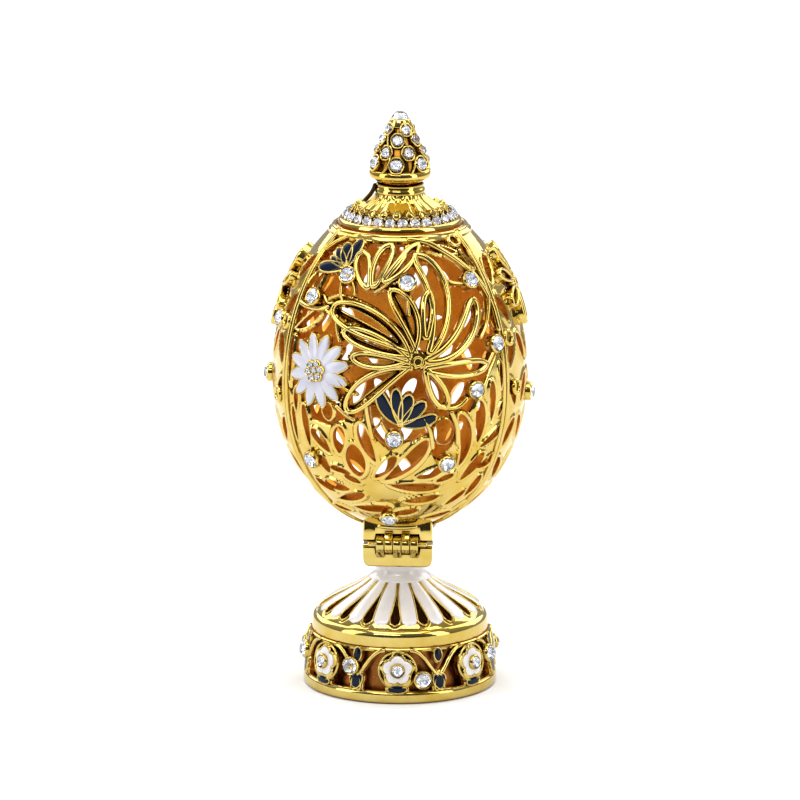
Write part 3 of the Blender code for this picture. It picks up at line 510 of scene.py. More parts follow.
def cut_sheet(surface, ground, azimuths, lengths, field, lift, wall, closed):
    """Faces of the part of a grid where the field is below zero, cut along the zero line. Finish 0
    is the polished outer side, 1 the inner side and the cut edges, in orange gold with painted
    reflection, and 2 every hollow, in darker gold as painted shade."""
    if closed:
        field[:, -1], lift[:, -1] = field[:, 0], lift[:, 0]
    rows, columns = field.shape
    metal = field < 0
    row, column = np.meshgrid(np.arange(rows, dtype=float), np.arange(columns, dtype=float), indexing="ij")
    corner = np.full((rows, columns), -1)
    corner[metal] = np.arange(metal.sum())
    at = [np.stack([row[metal], column[metal]], axis=1)]
    total = int(metal.sum())
    cross = {}
    for name, down, across in (("along", 0, 1), ("up", 1, 0)):
        first = (slice(rows - down), slice(columns - across))
        a = field[first]
        b = field[down:, across:]
        change = (a < 0) != (b < 0)
        share = np.clip(a[change] / (a[change] - b[change]), 0.1, 0.9)
        index = np.full(change.shape, -1)
        index[change] = total + np.arange(change.sum())
        total += int(change.sum())
        at.append(np.stack([row[first][change] + share * down, column[first][change] + share * across], axis=1))
        cross[name] = index
    at = np.concatenate(at)
    a, b, c, d = corner[:-1, :-1], corner[:-1, 1:], corner[1:, 1:], corner[1:, :-1]
    ab, cd = cross["along"][:-1], cross["along"][1:]
    bc, da = cross["up"][:, 1:], cross["up"][:, :-1]
    code = (a >= 0) + 2 * (b >= 0) + 4 * (c >= 0) + 8 * (d >= 0)
    cases = {
        15: [(a, b, c, d)], 1: [(a, ab, da)], 2: [(b, bc, ab)], 4: [(c, cd, bc)], 8: [(d, da, cd)],
        3: [(a, b, bc, da)], 6: [(b, c, cd, ab)], 12: [(c, d, da, bc)], 9: [(d, a, ab, cd)],
        5: [(a, ab, da), (c, cd, bc)], 10: [(b, bc, ab), (d, da, cd)],
        7: [(a, b, c, cd), (a, cd, da)], 14: [(b, c, d, da), (b, da, ab)],
        13: [(c, d, a, ab), (c, ab, bc)], 11: [(d, a, b, bc), (d, bc, cd)],
    }
    borders = {
        1: [(ab, da)], 2: [(bc, ab)], 4: [(cd, bc)], 8: [(da, cd)], 3: [(bc, da)], 6: [(cd, ab)],
        12: [(da, bc)], 9: [(ab, cd)], 5: [(ab, da), (cd, bc)], 10: [(bc, ab), (da, cd)],
        7: [(cd, da)], 14: [(da, ab)], 13: [(ab, bc)], 11: [(bc, cd)],
    }
    threes, fours, rims = [], [], []
    for number, groups in cases.items():
        here = code == number
        for group in groups:
            faces = np.stack([g[here] for g in group], axis=1)
            (fours if faces.shape[1] == 4 else threes).append(faces)
        for pair in borders.get(number, []):
            rims.append(np.stack([g[here] for g in pair], axis=1))
    threes, fours, rims = np.concatenate(threes), np.concatenate(fours), np.concatenate(rims)
    spots = np.stack([np.interp(at[:, 1], np.arange(columns), azimuths),
                      np.interp(at[:, 0], np.arange(rows), lengths)], axis=1)
    low_row = np.clip(at[:, 0].astype(int), 0, rows - 2)
    low_column = np.clip(at[:, 1].astype(int), 0, columns - 2)
    down, right = at[:, 0] - low_row, at[:, 1] - low_column
    above = (1 - right) * lift[low_row, low_column] + right * lift[low_row, low_column + 1]
    below = (1 - right) * lift[low_row + 1, low_column] + right * lift[low_row + 1, low_column + 1]
    rise = (1 - down) * above + down * below
    if closed:
        # The last column is the first one again, so its points give way to their twins there
        twin = np.arange(total)
        starts = np.flatnonzero(at[:, 1] < 0.001)
        twins = {round(float(at[index, 0]), 4): index for index in starts}
        for index in np.flatnonzero(at[:, 1] > columns - 1.001):
            twin[index] = twins.get(round(float(at[index, 0]), 4), index)
        threes, fours, rims = twin[threes], twin[fours], twin[rims]
    outer, inner = ground.point(spots, rise), ground.point(spots, np.full(total, -wall))
    # Faces sunk below RECESS take finish 2: the hollows' darker gold, painted shade
    sunk = [rise[faces].mean(axis=1) < RECESS for faces in (threes, fours)]
    surface.add(outer, [threes, fours])
    surface.finishes[-2:] = [2 * low.astype(int) for low in sunk]
    base = surface.count
    surface.add(inner, [threes[:, ::-1], fours[:, ::-1]], 1)
    walls = np.stack([rims[:, 1], rims[:, 0], rims[:, 0] + total, rims[:, 1] + total], axis=1)
    surface.corners.append(walls.ravel() + base - total)
    surface.sizes.append(np.full(len(walls), 4))
    surface.finishes.append(np.ones(len(walls), int))


def crystal(surface, foil, place, right, out, radius, height, sides=8):
    """A brilliant: a flat table, three rows of facets above a thin girdle and a cone below, over a
    faceted dish."""
    right = right - out * np.dot(right, out)
    right /= np.linalg.norm(right)
    up = np.cross(out, right)

    def ring(scale, level, shift):
        """Corners round the crystal's axis at a share of its radius and of its height."""
        turn = turns(sides, shift)
        return (place + radius * scale * (np.cos(turn)[:, None] * right + np.sin(turn)[:, None] * up)
                + out * height * level)

    rings = [ring(0.06, -0.75, 0.0), ring(1.0, 0.0, 0.0), ring(1.0, 0.10, 0.0), ring(0.84, 0.48, 0.5),
             ring(0.66, 0.80, 0.0), ring(0.46, 1.0, 0.5)]
    loft(surface, np.array(rings)[:, ::-1])
    dish = [ring(0.10, -0.86, 0.5), ring(1.04, -0.05, 0.5), ring(1.08, -0.14, 0.5), ring(0.14, -0.98, 0.5)]
    loft(foil, np.array(dish)[::-1][:, ::-1])


def set_stone(stones, foil, metal, ground, spot, radius, seat, height):
    """A crystal in its round bezel: a collar from the ground up to the girdle, and the stone."""
    spot = np.asarray(spot, float)[None]
    out = ground.normal(spot)[0]
    right = level_side(out)
    up = np.cross(out, right)
    base = ground.point(spot)[0]
    turn = turns(28)
    circle = np.cos(turn)[:, None] * right + np.sin(turn)[:, None] * up
    bezel = (
        (radius + 0.30, -0.6), (radius + 0.34, seat - 0.35), (radius + 0.27, seat - 0.02),
        (radius + 0.14, seat + 0.12), (radius + 0.02, seat + 0.08), (radius - 0.02, seat - 0.12),
        (radius * 0.92, seat - 0.95),
    )
    rings = [base + circle * reach + out * level for reach, level in bezel]
    loft(metal, np.array(rings)[:, ::-1])
    crystal(stones, foil, base + out * (seat - 0.02), right, out, radius, height)


# Ornament of the door. Places are (azimuth, height); petals start from their flower's heart.

HEART = (12.3, 67.85)
# Sunk petals: start (u, v), direction, length, bend, half width of the petal, half width of its opening
SUNK_PETALS = (
    ((-1.2, 1.0), 154, 17.4, 46, 3.00, 0.72), ((-1.5, 0.3), 160, 13.4, 14, 1.95, 0.55),
    ((-1.5, -0.2), 177, 11.0, -12, 1.65, 0.50), ((-1.2, -1.2), 216, 15.4, 44, 2.35, 1.10),
    ((-0.6, 1.4), 109, 12.8, 48, 2.05, 0.60),
)
# Looped petals: start (u, v), direction, length, bend, half width of the opening
LOOPED_PETALS = (
    ((1.6, 4.4), 84, 7.9, 4, 0.55), ((2.3, 1.6), 95, 19.6, 76, 1.40),
    ((1.8, -0.1), 46, 15.2, 78, 1.20), ((1.6, -1.8), -1, 12.0, 10, 0.95), ((1.7, -2.2), -63, 7.4, 0, 1.00),
)
CREST = (-12.5, 80.4)
CREST_PETALS = (
    ((-0.6, 0.3), 106, 7.0, -28, 1.05), ((0.6, 0.6), 78, 8.3, -14, 1.00), ((2.6, 1.6), 58, 8.6, 26, 0.85),
)
DAISY = (-36.3, 64.8)
DAISY_PETALS = 12
DAISY_LENGTH = 7.0
# Sharpness of the leaves' ends: sunk and looped petals, crest petals and fans, and the daisy
PETAL_ENDS = (1.0, 0.6)
FAN_ENDS = (0.8, 0.5)
DAISY_ENDS = (0.7, 0.6)
# Enamelled fans: heart, then each leaf as direction, length, half width, bend
FANS = (
    ((-30.1, 83.4), ((82, 6.2, 0.85, 0), (110, 5.2, 1.05, -8), (136, 5.0, 0.80, -6), (161, 4.6, 0.50, 0),
                     (187, 6.7, 0.95, 8))),
    ((4.1, 56.0), ((122, 7.4, 0.95, -44), (97, 6.7, 0.85, -10), (72, 5.8, 1.00, 0), (42, 6.1, 0.95, 6),
                   (12, 6.9, 0.90, 36))),
)
# Pierced leaves: azimuth, height, direction, length, half width, bend, border
DOOR_LEAVES = (
    (50.4, 58.6, 90, 7.4, 0.62, 6, 0.85), (43.5, 55.0, 92, 7.8, 0.90, 12, 0.95),
    (36.4, 51.9, 96, 10.6, 0.95, 52, 0.95), (53.4, 51.5, 33, 6.8, 0.62, 14, 0.85),
    (44.3, 45.8, 55, 6.2, 0.90, 0, 0.95), (53.6, 46.2, 24, 4.4, 0.75, 10, 0.85),
    (51.8, 41.2, 74, 4.8, 0.85, 20, 0.85), (41.4, 39.2, 50, 4.4, 0.62, 0, 0.95),
    (28.3, 44.2, 22, 3.4, 0.50, -12, 1.05), (19.6, 45.3, 20, 4.8, 0.72, 18, 0.95),
    (8.2, 47.9, 48, 11.0, 1.10, 22, 1.15), (12.4, 42.5, -5, 9.0, 0.75, 14, 1.00),
    (17.6, 39.6, 8, 6.2, 0.68, 20, 1.00), (7.6, 36.6, 14, 4.4, 0.70, 24, 0.90),
    (56.4, 56.6, 66, 2.8, 0.40, 0, 0.60), (56.6, 63.2, 89, 5.0, 0.40, 0, 0.60),
    (-36.3, 51.2, 131, 5.0, 0.90, 22, 1.00), (-25.7, 51.8, 82, 5.0, 0.98, -8, 1.05),
    (-11.9, 51.7, 109, 7.6, 0.85, -10, 1.10), (-18.3, 48.1, 94, 6.6, 1.45, 0, 1.15),
    (-28.1, 45.6, 167, 4.2, 0.52, 16, 0.90), (-22.1, 43.9, 154, 3.2, 0.52, 8, 0.90),
    (-34.6, 41.8, 170, 5.0, 0.88, 0, 0.95), (-27.6, 39.6, 20, 6.4, 0.74, 12, 0.95),
    (-3.2, 46.8, 50, 6.0, 0.80, 10, 0.95), (-53.4, 53.4, 88, 6.6, 0.48, 4, 0.75),
    (-44.5, 53.6, 92, 8.0, 0.66, 10, 0.85), (-37.5, 46.2, 108, 3.4, 0.80, 0, 0.85),
    (-44.5, 41.4, 150, 4.4, 0.75, 10, 0.85), (-15.5, 37.3, 5, 6.6, 0.85, 26, 0.95),
    (-55.9, 65.6, 91, 9.2, 0.42, 0, 0.60), (-50.5, 58.4, 86, 4.4, 0.50, -8, 0.70),
    (-46.8, 73.4, 38, 7.0, 0.75, 30, 0.80), (-55.0, 79.2, 74, 6.2, 0.62, -20, 0.75),
    (-49.0, 80.0, 78, 4.6, 0.50, -16, 0.70), (-30.5, 57.2, 96, 2.6, 0.90, 0, 0.60),
    (37.0, 86.6, 165, 5.2, 0.62, 14, 0.70), (52.6, 84.4, 120, 4.0, 0.48, 0, 0.60),
    (24.6, 54.0, 95, 4.2, 1.5, 0, 0.50), (-8.6, 56.8, 80, 3.6, 1.2, 0, 0.45),
    (19.5, 87.2, 172, 5.0, 0.48, 6, 0.60), (-45.0, 36.2, 172, 4.0, 0.60, 0, 0.80),
    (36.0, 35.2, 14, 5.0, 0.62, 14, 0.85), (55.0, 36.2, 55, 3.6, 0.55, 0, 0.80),
)
# Upper limit of the sunk ground between the leaves, as (azimuth, height)
GROUND_TOP = (
    (-60, 61.0), (-50, 58.0), (-42, 55.4), (-30, 54.6), (-22, 56.2), (-14, 55.4), (-8, 53.0), (-1, 50.4),
    (8, 52.6), (15, 51.2), (22, 48.4), (29, 50.6), (35, 56.0), (42, 60.4), (49, 64.6), (60, 70.0),
)
GROUND_DEPTH = -0.12
# The leaves' openings are cut this much wider, and a little longer, than the table has them
OPENING_FULLNESS = 1.32
OPENING_STRETCH = 1.08
# Free bars across the voids, each through (azimuth, height) points, with its half width
DOOR_BARS = (
    (((9.0, 88.6), (24.0, 88.0), (36.0, 86.3), (46.0, 83.9), (53.6, 80.8), (57.4, 76.6), (58.0, 71.0)), 0.50),
    (((-17.0, 81.0), (-10.0, 81.4), (-4.0, 82.4)), 0.42),
    (((-5.5, 81.9), (1.5, 84.1), (8.6, 86.4)), 0.62),
    (((-11.0, 79.6), (-4.0, 81.0), (3.8, 83.2)), 0.34),
    (((-33.8, 76.6), (-41.0, 75.9), (-50.0, 75.8), (-57.5, 76.2)), 0.48),
    (((-25.0, 76.8), (-29.5, 79.4), (-31.0, 82.6)), 0.34),
    (((-20.5, 78.8), (-23.0, 81.0), (-28.0, 82.4)), 0.30),
    (((-26.0, 59.0), (-21.0, 57.4), (-16.0, 56.2)), 0.42),
    (((-15.0, 61.0), (-21.0, 62.2), (-25.0, 64.0)), 0.36),
    (((-24.6, 70.4), (-27.0, 72.6), (-29.0, 75.6)), 0.38),
    (((-11.6, 60.8), (-10.6, 57.6), (-8.4, 52.6)), 0.46),
    (((20.0, 59.0), (25.0, 58.6), (31.0, 58.8), (36.0, 60.4)), 0.44),
    (((14.0, 57.4), (17.6, 54.4), (19.6, 50.6)), 0.42),
    (((27.0, 58.2), (30.5, 54.8), (32.0, 50.8)), 0.50),
    (((44.0, 70.6), (49.0, 72.6), (53.0, 75.0), (57.6, 78.0)), 0.40),
    (((46.0, 65.4), (49.5, 67.0), (53.0, 68.6)), 0.38),
    (((8.0, 79.4), (8.4, 77.4), (8.8, 75.6)), 0.34),
    (((27.0, 83.0), (33.6, 81.2), (42.0, 80.6)), 0.34),
    (((49.0, 86.4), (50.6, 83.4), (50.0, 82.0)), 0.30),
    (((-4.6, 56.4), (-2.0, 54.4), (1.0, 53.2)), 0.36),
    (((-40.0, 78.6), (-35.6, 77.2), (-31.6, 77.4)), 0.30),
    (((-22.0, 87.6), (-27.0, 88.2), (-33.0, 88.8)), 0.32),
    (((-41.0, 88.4), (-50.0, 87.2), (-57.0, 85.4)), 0.36),
)
# Small rings: azimuth, height, radius to the middle of the bar
DOOR_RINGS = ((48.6, 87.6, 1.15), (12.0, 67.6, 0.85))
# Crystals as in the CAD part: azimuth, share of the height from the egg's foot to its top
DOOR_STONES = (
    (8.0, 0.863), (46.5, 0.856), (53.5, 0.655), (39.3, 0.522), (26.9, 0.286), (-4.3, 0.082),
    (-44.2, 0.276), (-46.0, 0.800), (1.4, 0.378), (-27.3, 0.877),
)
# The limbs of both halves of the egg: bars along the top and the foot, as height and half width
LIMB_BARS = ((88.98, 0.46), (31.9, 0.40))


def stone_height(share):
    """A share of the egg's height as a height above the table."""
    return EGG_FOOT + share * (EGG_TOP - EGG_FOOT)


def bar_spots(points, spacing=0.4):
    """Free (azimuth, height) points as a smooth line of spots on the egg."""
    points = np.asarray(points, float)
    flat = np.stack([np.radians(points[:, 0]) * EGG_RADIUS, EGG.length_at(points[:, 1])], axis=1)
    line = curve_through(flat, spacing)
    return np.stack([np.degrees(line[:, 0] / EGG_RADIUS), line[:, 1]], axis=1)


def sunk_opening(start, direction, length, bend, opening):
    """The opening of a sunk petal: four fifths of the petal's spine, from a fifth of the way along."""
    heading = math.radians(direction - bend * 0.4)
    start = np.asarray(start) + 0.20 * length * np.array([math.cos(heading), math.sin(heading)])
    return leaf(HEART, direction, length * 0.80, opening, bend * 0.8, start, PETAL_ENDS)


def looped_petals():
    """The looped petals of the large bloom, and those of the crest above it."""
    loops = [leaf(HEART, direction, length, opening, bend, start, PETAL_ENDS)
             for start, direction, length, bend, opening in LOOPED_PETALS]
    crest = [leaf(CREST, direction, length, opening, bend, start, FAN_ENDS)
             for start, direction, length, bend, opening in CREST_PETALS]
    return loops, crest


def fan_leaves(place, leaves):
    """The enamelled leaves of one fan, all from its heart."""
    return [leaf(place, direction, length, half_width, bend, (0.0, 0.0), FAN_ENDS)
            for direction, length, half_width, bend in leaves]


def daisy_petals(half_width):
    """The daisy's petals at even turns."""
    return [leaf(DAISY, 360 * (n + 0.5) / DAISY_PETALS, DAISY_LENGTH, half_width, 0, (0.0, 0.0), DAISY_ENDS)
            for n in range(DAISY_PETALS)]


def door_shapes():
    """Every leaf of the door's sheet as (leaf, border, height, height at its opening)."""
    shapes = []
    for start, direction, length, bend, half_width, opening in SUNK_PETALS:
        shape = sunk_opening(start, direction, length, bend, opening)
        shapes.append((shape, half_width - opening, 0.85, -0.95))
    loops, crest = looped_petals()
    shapes += [(shape, 0.50, 0.3, 0.3) for shape in loops]
    shapes += [(shape, 0.50, 0.5, 0.2) for shape in crest]
    for azimuth, height, direction, length, half_width, bend, border in DOOR_LEAVES:
        ends = (1.0, 1.0) if half_width > 1.3 else (0.9, 0.55)
        shape = leaf((azimuth, height), direction, OPENING_STRETCH * length, OPENING_FULLNESS * half_width,
                     bend, None, ends)
        shapes.append((shape, 0.9 * border, 0.34, 0.24))
    for place, leaves in FANS:
        shapes += [(shape, 0.32, 0.62, None) for shape in fan_leaves(place, leaves)]
    shapes += [(shape, 0.25, 0.60, None) for shape in daisy_petals(1.15)]
    for share in (0.985, 0.012):
        shapes += [(patch((azimuth, stone_height(share)), 6.0, 0.75), 0.0, 0.3, None)
                   for azimuth in range(-54, 60, 12)]
    shapes += [(patch((azimuth, stone_height(share)), 0.4, 1.7), 0.0, 0.4, None)
               for azimuth, share in DOOR_STONES]
    shapes.append((patch(HEART, 0.6, 2.0), 0.0, 0.75, None))
    return shapes


def inside_door(grid):
    """How far each spot lies outside the door's two seams."""
    return (np.abs(grid[..., 0]) - DOOR_EDGE) * math.radians(1) * EGG_RADIUS


def door_ground(grid):
    """How far each spot lies above the upper limit of the sunk ground."""
    azimuths, heights = zip(*GROUND_TOP)
    here = np.interp(grid[..., 1], EGG.lengths, EGG.heights)
    return 0.8 * (here - np.interp(grid[..., 0], azimuths, heights))


def egg_sheet(azimuths, steps, shapes, seams, ground_sheet, depth=0.0):
    """The pierced sheet of one half of the egg, on a grid that reaches a little past its ends."""
    sheet = Surface()
    lengths = np.linspace(-0.2, EGG.lengths[-1] + 0.2, steps)
    pierced_sheet(sheet, EGG, azimuths, lengths, shapes, EGG_WALL, sheet_edges(EGG, 0.0, seams),
                  ground_sheet=ground_sheet, depth=depth)
    return sheet


def egg_limbs(bars, azimuths, seams, seam_width):
    """The smooth bars along the top and the foot of one half of the egg, and along its two seams."""
    for height, half_width in LIMB_BARS:
        bar(bars, EGG, line_spots(azimuths, EGG.length_at(height)), half_width, 0.36, 0.1, EGG_WALL)
    for azimuth in seams:
        seam = line_spots(azimuth, np.linspace(0.5, EGG.lengths[-1] - 0.3, 170))
        bar(bars, EGG, seam, seam_width, 0.34, 0.05, EGG_WALL - 0.05)


def egg_stones(stones, foil, bars, table):
    """The large crystals of one half of the egg."""
    for azimuth, share in table:
        spot = spot_at(EGG, azimuth, stone_height(share))
        set_stone(stones, foil, bars, EGG, spot, STONE_RADIUS, STONE_SEAT, STONE_HEIGHT)


def crystal_pieces(name, stones, foil, glass, silver, body, replaced=()):
    """The crystals of one place and the foil behind them, as two pieces."""
    piece(f"{name}_crystals", stones, [glass], body, replaced, CRYSTAL_EDGE)
    piece(f"{name}_crystal_foil", foil, [silver], body, sharp=FOIL_EDGE)


def numbered(name, count):
    """The names of a run of CAD nodes."""
    return [f"{name}_{n + 1:02d}" for n in range(count)]


def door_bars():
    """The raised lines of the door: petal edges, free bars, small rings, ends and seams."""
    bars = Surface()
    for start, direction, length, bend, half_width, opening in SUNK_PETALS:
        petal = leaf(HEART, direction, length, half_width, bend, start, (0.9, 0.5))
        edge_bar(bars, EGG, petal, -0.35, 0.46, 0.46, 0.66, 1.0)
        lip = sunk_opening(start, direction, length, bend, opening)
        edge_bar(bars, EGG, lip, 0.10, 0.20, 0.26, -0.72, 0.3)
    loops, crest = looped_petals()
    for petal in loops:
        edge_bar(bars, EGG, petal, 0.36, 0.62, 0.62, 0.40, 1.0)
    for petal in crest:
        edge_bar(bars, EGG, petal, 0.32, 0.52, 0.52, 0.40, 1.0)
    for points, half_width in DOOR_BARS:
        bar(bars, EGG, bar_spots(points), half_width, 0.55, 0.25, EGG_WALL)
    for azimuth, height, radius in DOOR_RINGS:
        bar(bars, EGG, ring_spots(EGG, (azimuth, height), radius), 0.36, 0.42, 0.5, EGG_WALL, closed=True)
    egg_limbs(bars, np.linspace(-58.8, 58.8, 60), (-58.6, 58.6), 0.40)
    return bars


def door_pieces(gold, inner_gold_painted_reflection, hollow_gold_painted_shade, white, navy, glass, silver):
    """The pierced door, its raised bars, its enamel and its stones."""
    sheet = egg_sheet(np.linspace(-60.2, 60.2, 228), 284, door_shapes(), inside_door, door_ground,
                      GROUND_DEPTH)
    golds = [gold, inner_gold_painted_reflection, hollow_gold_painted_shade]
    piece("door_openwork", sheet, golds, DOOR_BODY, ["egg_front_door"])
    bars = door_bars()
    enamel = Surface()
    for place, leaves in FANS:
        for shape in fan_leaves(place, leaves):
            pad(enamel, EGG, shape, -0.02, 0.16, 0.64)
            edge_bar(bars, EGG, shape, 0.16, 0.20, 0.24, 0.58, 0.5)
        bar(bars, EGG, ring_spots(EGG, place, 0.35, 12), 0.3, 0.3, 0.6, 0.5, closed=True)
    piece("fan_enamel", enamel, [navy], DOOR_BODY)
    petals = Surface()
    for shape in daisy_petals(1.16):
        pad(petals, EGG, shape, 0.04, 0.20, 0.60)
        edge_bar(bars, EGG, shape, 0.10, 0.13, 0.16, 0.55, 0.5)
    bar(petals, EGG, ring_spots(EGG, DAISY, 1.5, 24), 1.45, 0.22, 0.62, 0.3, closed=True)
    piece("daisy_enamel", petals, [white], DOOR_BODY)
    stones, foil = Surface(), Surface()
    egg_stones(stones, foil, bars, DOOR_STONES)
    for n in range(7):
        turn = math.radians(60 * n + 12)
        reach = 0.0 if n == 6 else 1.36
        spot = spot_at(EGG, *DAISY, (reach * math.cos(turn), reach * math.sin(turn)))
        set_stone(stones, foil, bars, EGG, spot, 0.60, 1.30, 0.46)
    crystal_pieces("door", stones, foil, glass, silver, DOOR_BODY, numbered("door_stone", len(DOOR_STONES)))
    hinge_leaf(bars, True)
    piece("door_filigree", bars, [gold], DOOR_BODY, sharp=50.0)


# The fixed shell: rows of leaves that lean to and fro, between raised flowers and stones. Stones
# and blooms are placed as on the door.

SHELL_STONES = ((-71.4, 0.702), (-88.0, 0.50), (88.0, 0.45), (120.0, 0.655), (-120.0, 0.655), (180.0, 0.80))
SIDE_BLOOMS = ((94.0, 0.80), (-98.0, 0.78), (180.0, 0.56))
SIDE_PETALS = 8
# Small rings by the seams: azimuth, height, radius
SHELL_RINGS = ((64.6, 69.6, 1.3), (-64.6, 72.0, 1.1), (68.0, 60.0, 1.2), (-67.0, 58.0, 1.2))
LEAF_ROWS = (37.6, 44.2, 51.4, 59.2, 67.2, 75.0, 82.2)
LEAF_SPACING = 5.0
LEAF_LEAN = 26
BLOOM_ROOM = 8.6


def inside_shell(grid):
    """How far each spot lies outside the fixed shell's two seams."""
    away = np.abs((grid[..., 0] % 360) - 180)
    return (away - (180 - SHELL_EDGE)) * math.radians(1) * EGG_RADIUS


def bloom_place(bloom):
    """A bloom's azimuth and height."""
    return bloom[0], stone_height(bloom[1])


def near_bloom(azimuth, height):
    """Whether a place is within the room that a bloom needs."""
    places = [bloom_place(bloom) for bloom in SIDE_BLOOMS] + [(azimuth, height)]
    points = EGG.point(np.array([spot_at(EGG, *place) for place in places]))
    return np.linalg.norm(points[:-1] - points[-1], axis=1).min() < BLOOM_ROOM


def shell_leaves():
    """Rows of leaf openings round the back, every other one leaning the other way."""
    leaves = []
    for row, height in enumerate(LEAF_ROWS):
        radius = float(EGG.radius_at(EGG.length_at(height)))
        count = int(round(math.radians(240) * radius / LEAF_SPACING))
        for column in range(count):
            azimuth = 60 + (column + 0.5) * 240 / count
            lean = LEAF_LEAN if (row + column) % 2 else -LEAF_LEAN
            if not near_bloom(azimuth, height):
                leaves.append(leaf((azimuth, height), 90 + lean, 5.9, 1.10, lean, None, (0.9, 0.7)))
    return leaves


def bloom_petals(bloom):
    """The petals of one raised bloom."""
    petals = []
    for n in range(SIDE_PETALS):
        direction = 360 * (n + 0.5) / SIDE_PETALS
        turn = math.radians(direction)
        start = (2.6 * math.cos(turn), 2.6 * math.sin(turn))
        petals.append(leaf(bloom_place(bloom), direction, 5.0, 0.62, 20, start, PETAL_ENDS))
    return petals


def shell_shapes():
    """Every leaf of the shell's sheet, its azimuth counted from 0 to 360."""
    shapes = [(shape, 1.0, 0.35, 0.3) for shape in shell_leaves()]
    for bloom in SIDE_BLOOMS:
        shapes += [(shape, 0.85, 1.25, 0.4) for shape in bloom_petals(bloom)]
        shapes.append((patch(bloom_place(bloom), 0.6, 2.2), 0.0, 1.3, None))
    for share in (0.985, 0.012, 0.03):
        shapes += [(patch((azimuth, stone_height(share)), 6.0, 0.75), 0.0, 0.3, None)
                   for azimuth in range(66, 300, 12)]
    shapes += [(patch((azimuth, stone_height(share)), 0.4, 1.9), 0.0, 0.5, None)
               for azimuth, share in SHELL_STONES]
    return [(shape | {"centre": (shape["centre"][0] % 360, shape["centre"][1])}, *heights)
            for shape, *heights in shapes]


def shell_pieces(gold, inner_gold_painted_reflection, hollow_gold_painted_shade, glass, silver):
    """The fixed shell with its three raised flowers, bars and stones."""
    sheet = egg_sheet(np.linspace(59.8, 300.2, 262), 188, shell_shapes(), inside_shell,
                      lambda grid: np.full(grid.shape[:2], -5.0))
    golds = [gold, inner_gold_painted_reflection, hollow_gold_painted_shade]
    piece("shell_openwork", sheet, golds, STAND_BODY, ["egg_back_shell"])
    bars, stones, foil = Surface(), Surface(), Surface()
    egg_limbs(bars, np.linspace(61.4, 298.6, 110), (SHELL_EDGE + 0.9, 359.1 - SHELL_EDGE), 0.45)
    for bloom in SIDE_BLOOMS:
        for petal in bloom_petals(bloom):
            edge_bar(bars, EGG, petal, 0.55, 0.34, 0.45, 1.15, 1.4)
        bar(bars, EGG, ring_spots(EGG, bloom_place(bloom), 0.9, 20), 0.55, 0.5, 1.3, 1.4, closed=True)
    for azimuth, height, radius in SHELL_RINGS:
        bar(bars, EGG, ring_spots(EGG, (azimuth, height), radius), 0.42, 0.5, 0.4, EGG_WALL, closed=True)
    egg_stones(stones, foil, bars, SHELL_STONES)
    names = numbered("shell_stone", len(SHELL_STONES))
    crystal_pieces("shell", stones, foil, glass, silver, STAND_BODY, names)
    piece("shell_filigree", bars, [gold], STAND_BODY, sharp=50.0)


# Hinge

def slab(surface, profile, start, end, soft):
    """A (y, z) outline carried along X from start to end, its two ends drawn in round the edge."""
    profile = np.asarray(profile, float)
    middle = profile.mean(axis=0)
    size = np.abs(profile - middle).max(axis=0)
    turn = np.linspace(0.0, np.pi / 2, 4)
    across = np.concatenate([start + soft * (1 - np.cos(turn)), (end - soft * (1 - np.cos(turn)))[::-1]])
    inset = np.concatenate([soft * (1 - np.sin(turn)), (soft * (1 - np.sin(turn)))[::-1]])
    loops = [np.stack([np.full(len(profile), x), *(middle + (profile - middle) * (1 - step / size)).T], axis=1)
             for x, step in zip(across, inset)]
    loft(surface, np.array(loops)[:, ::-1])


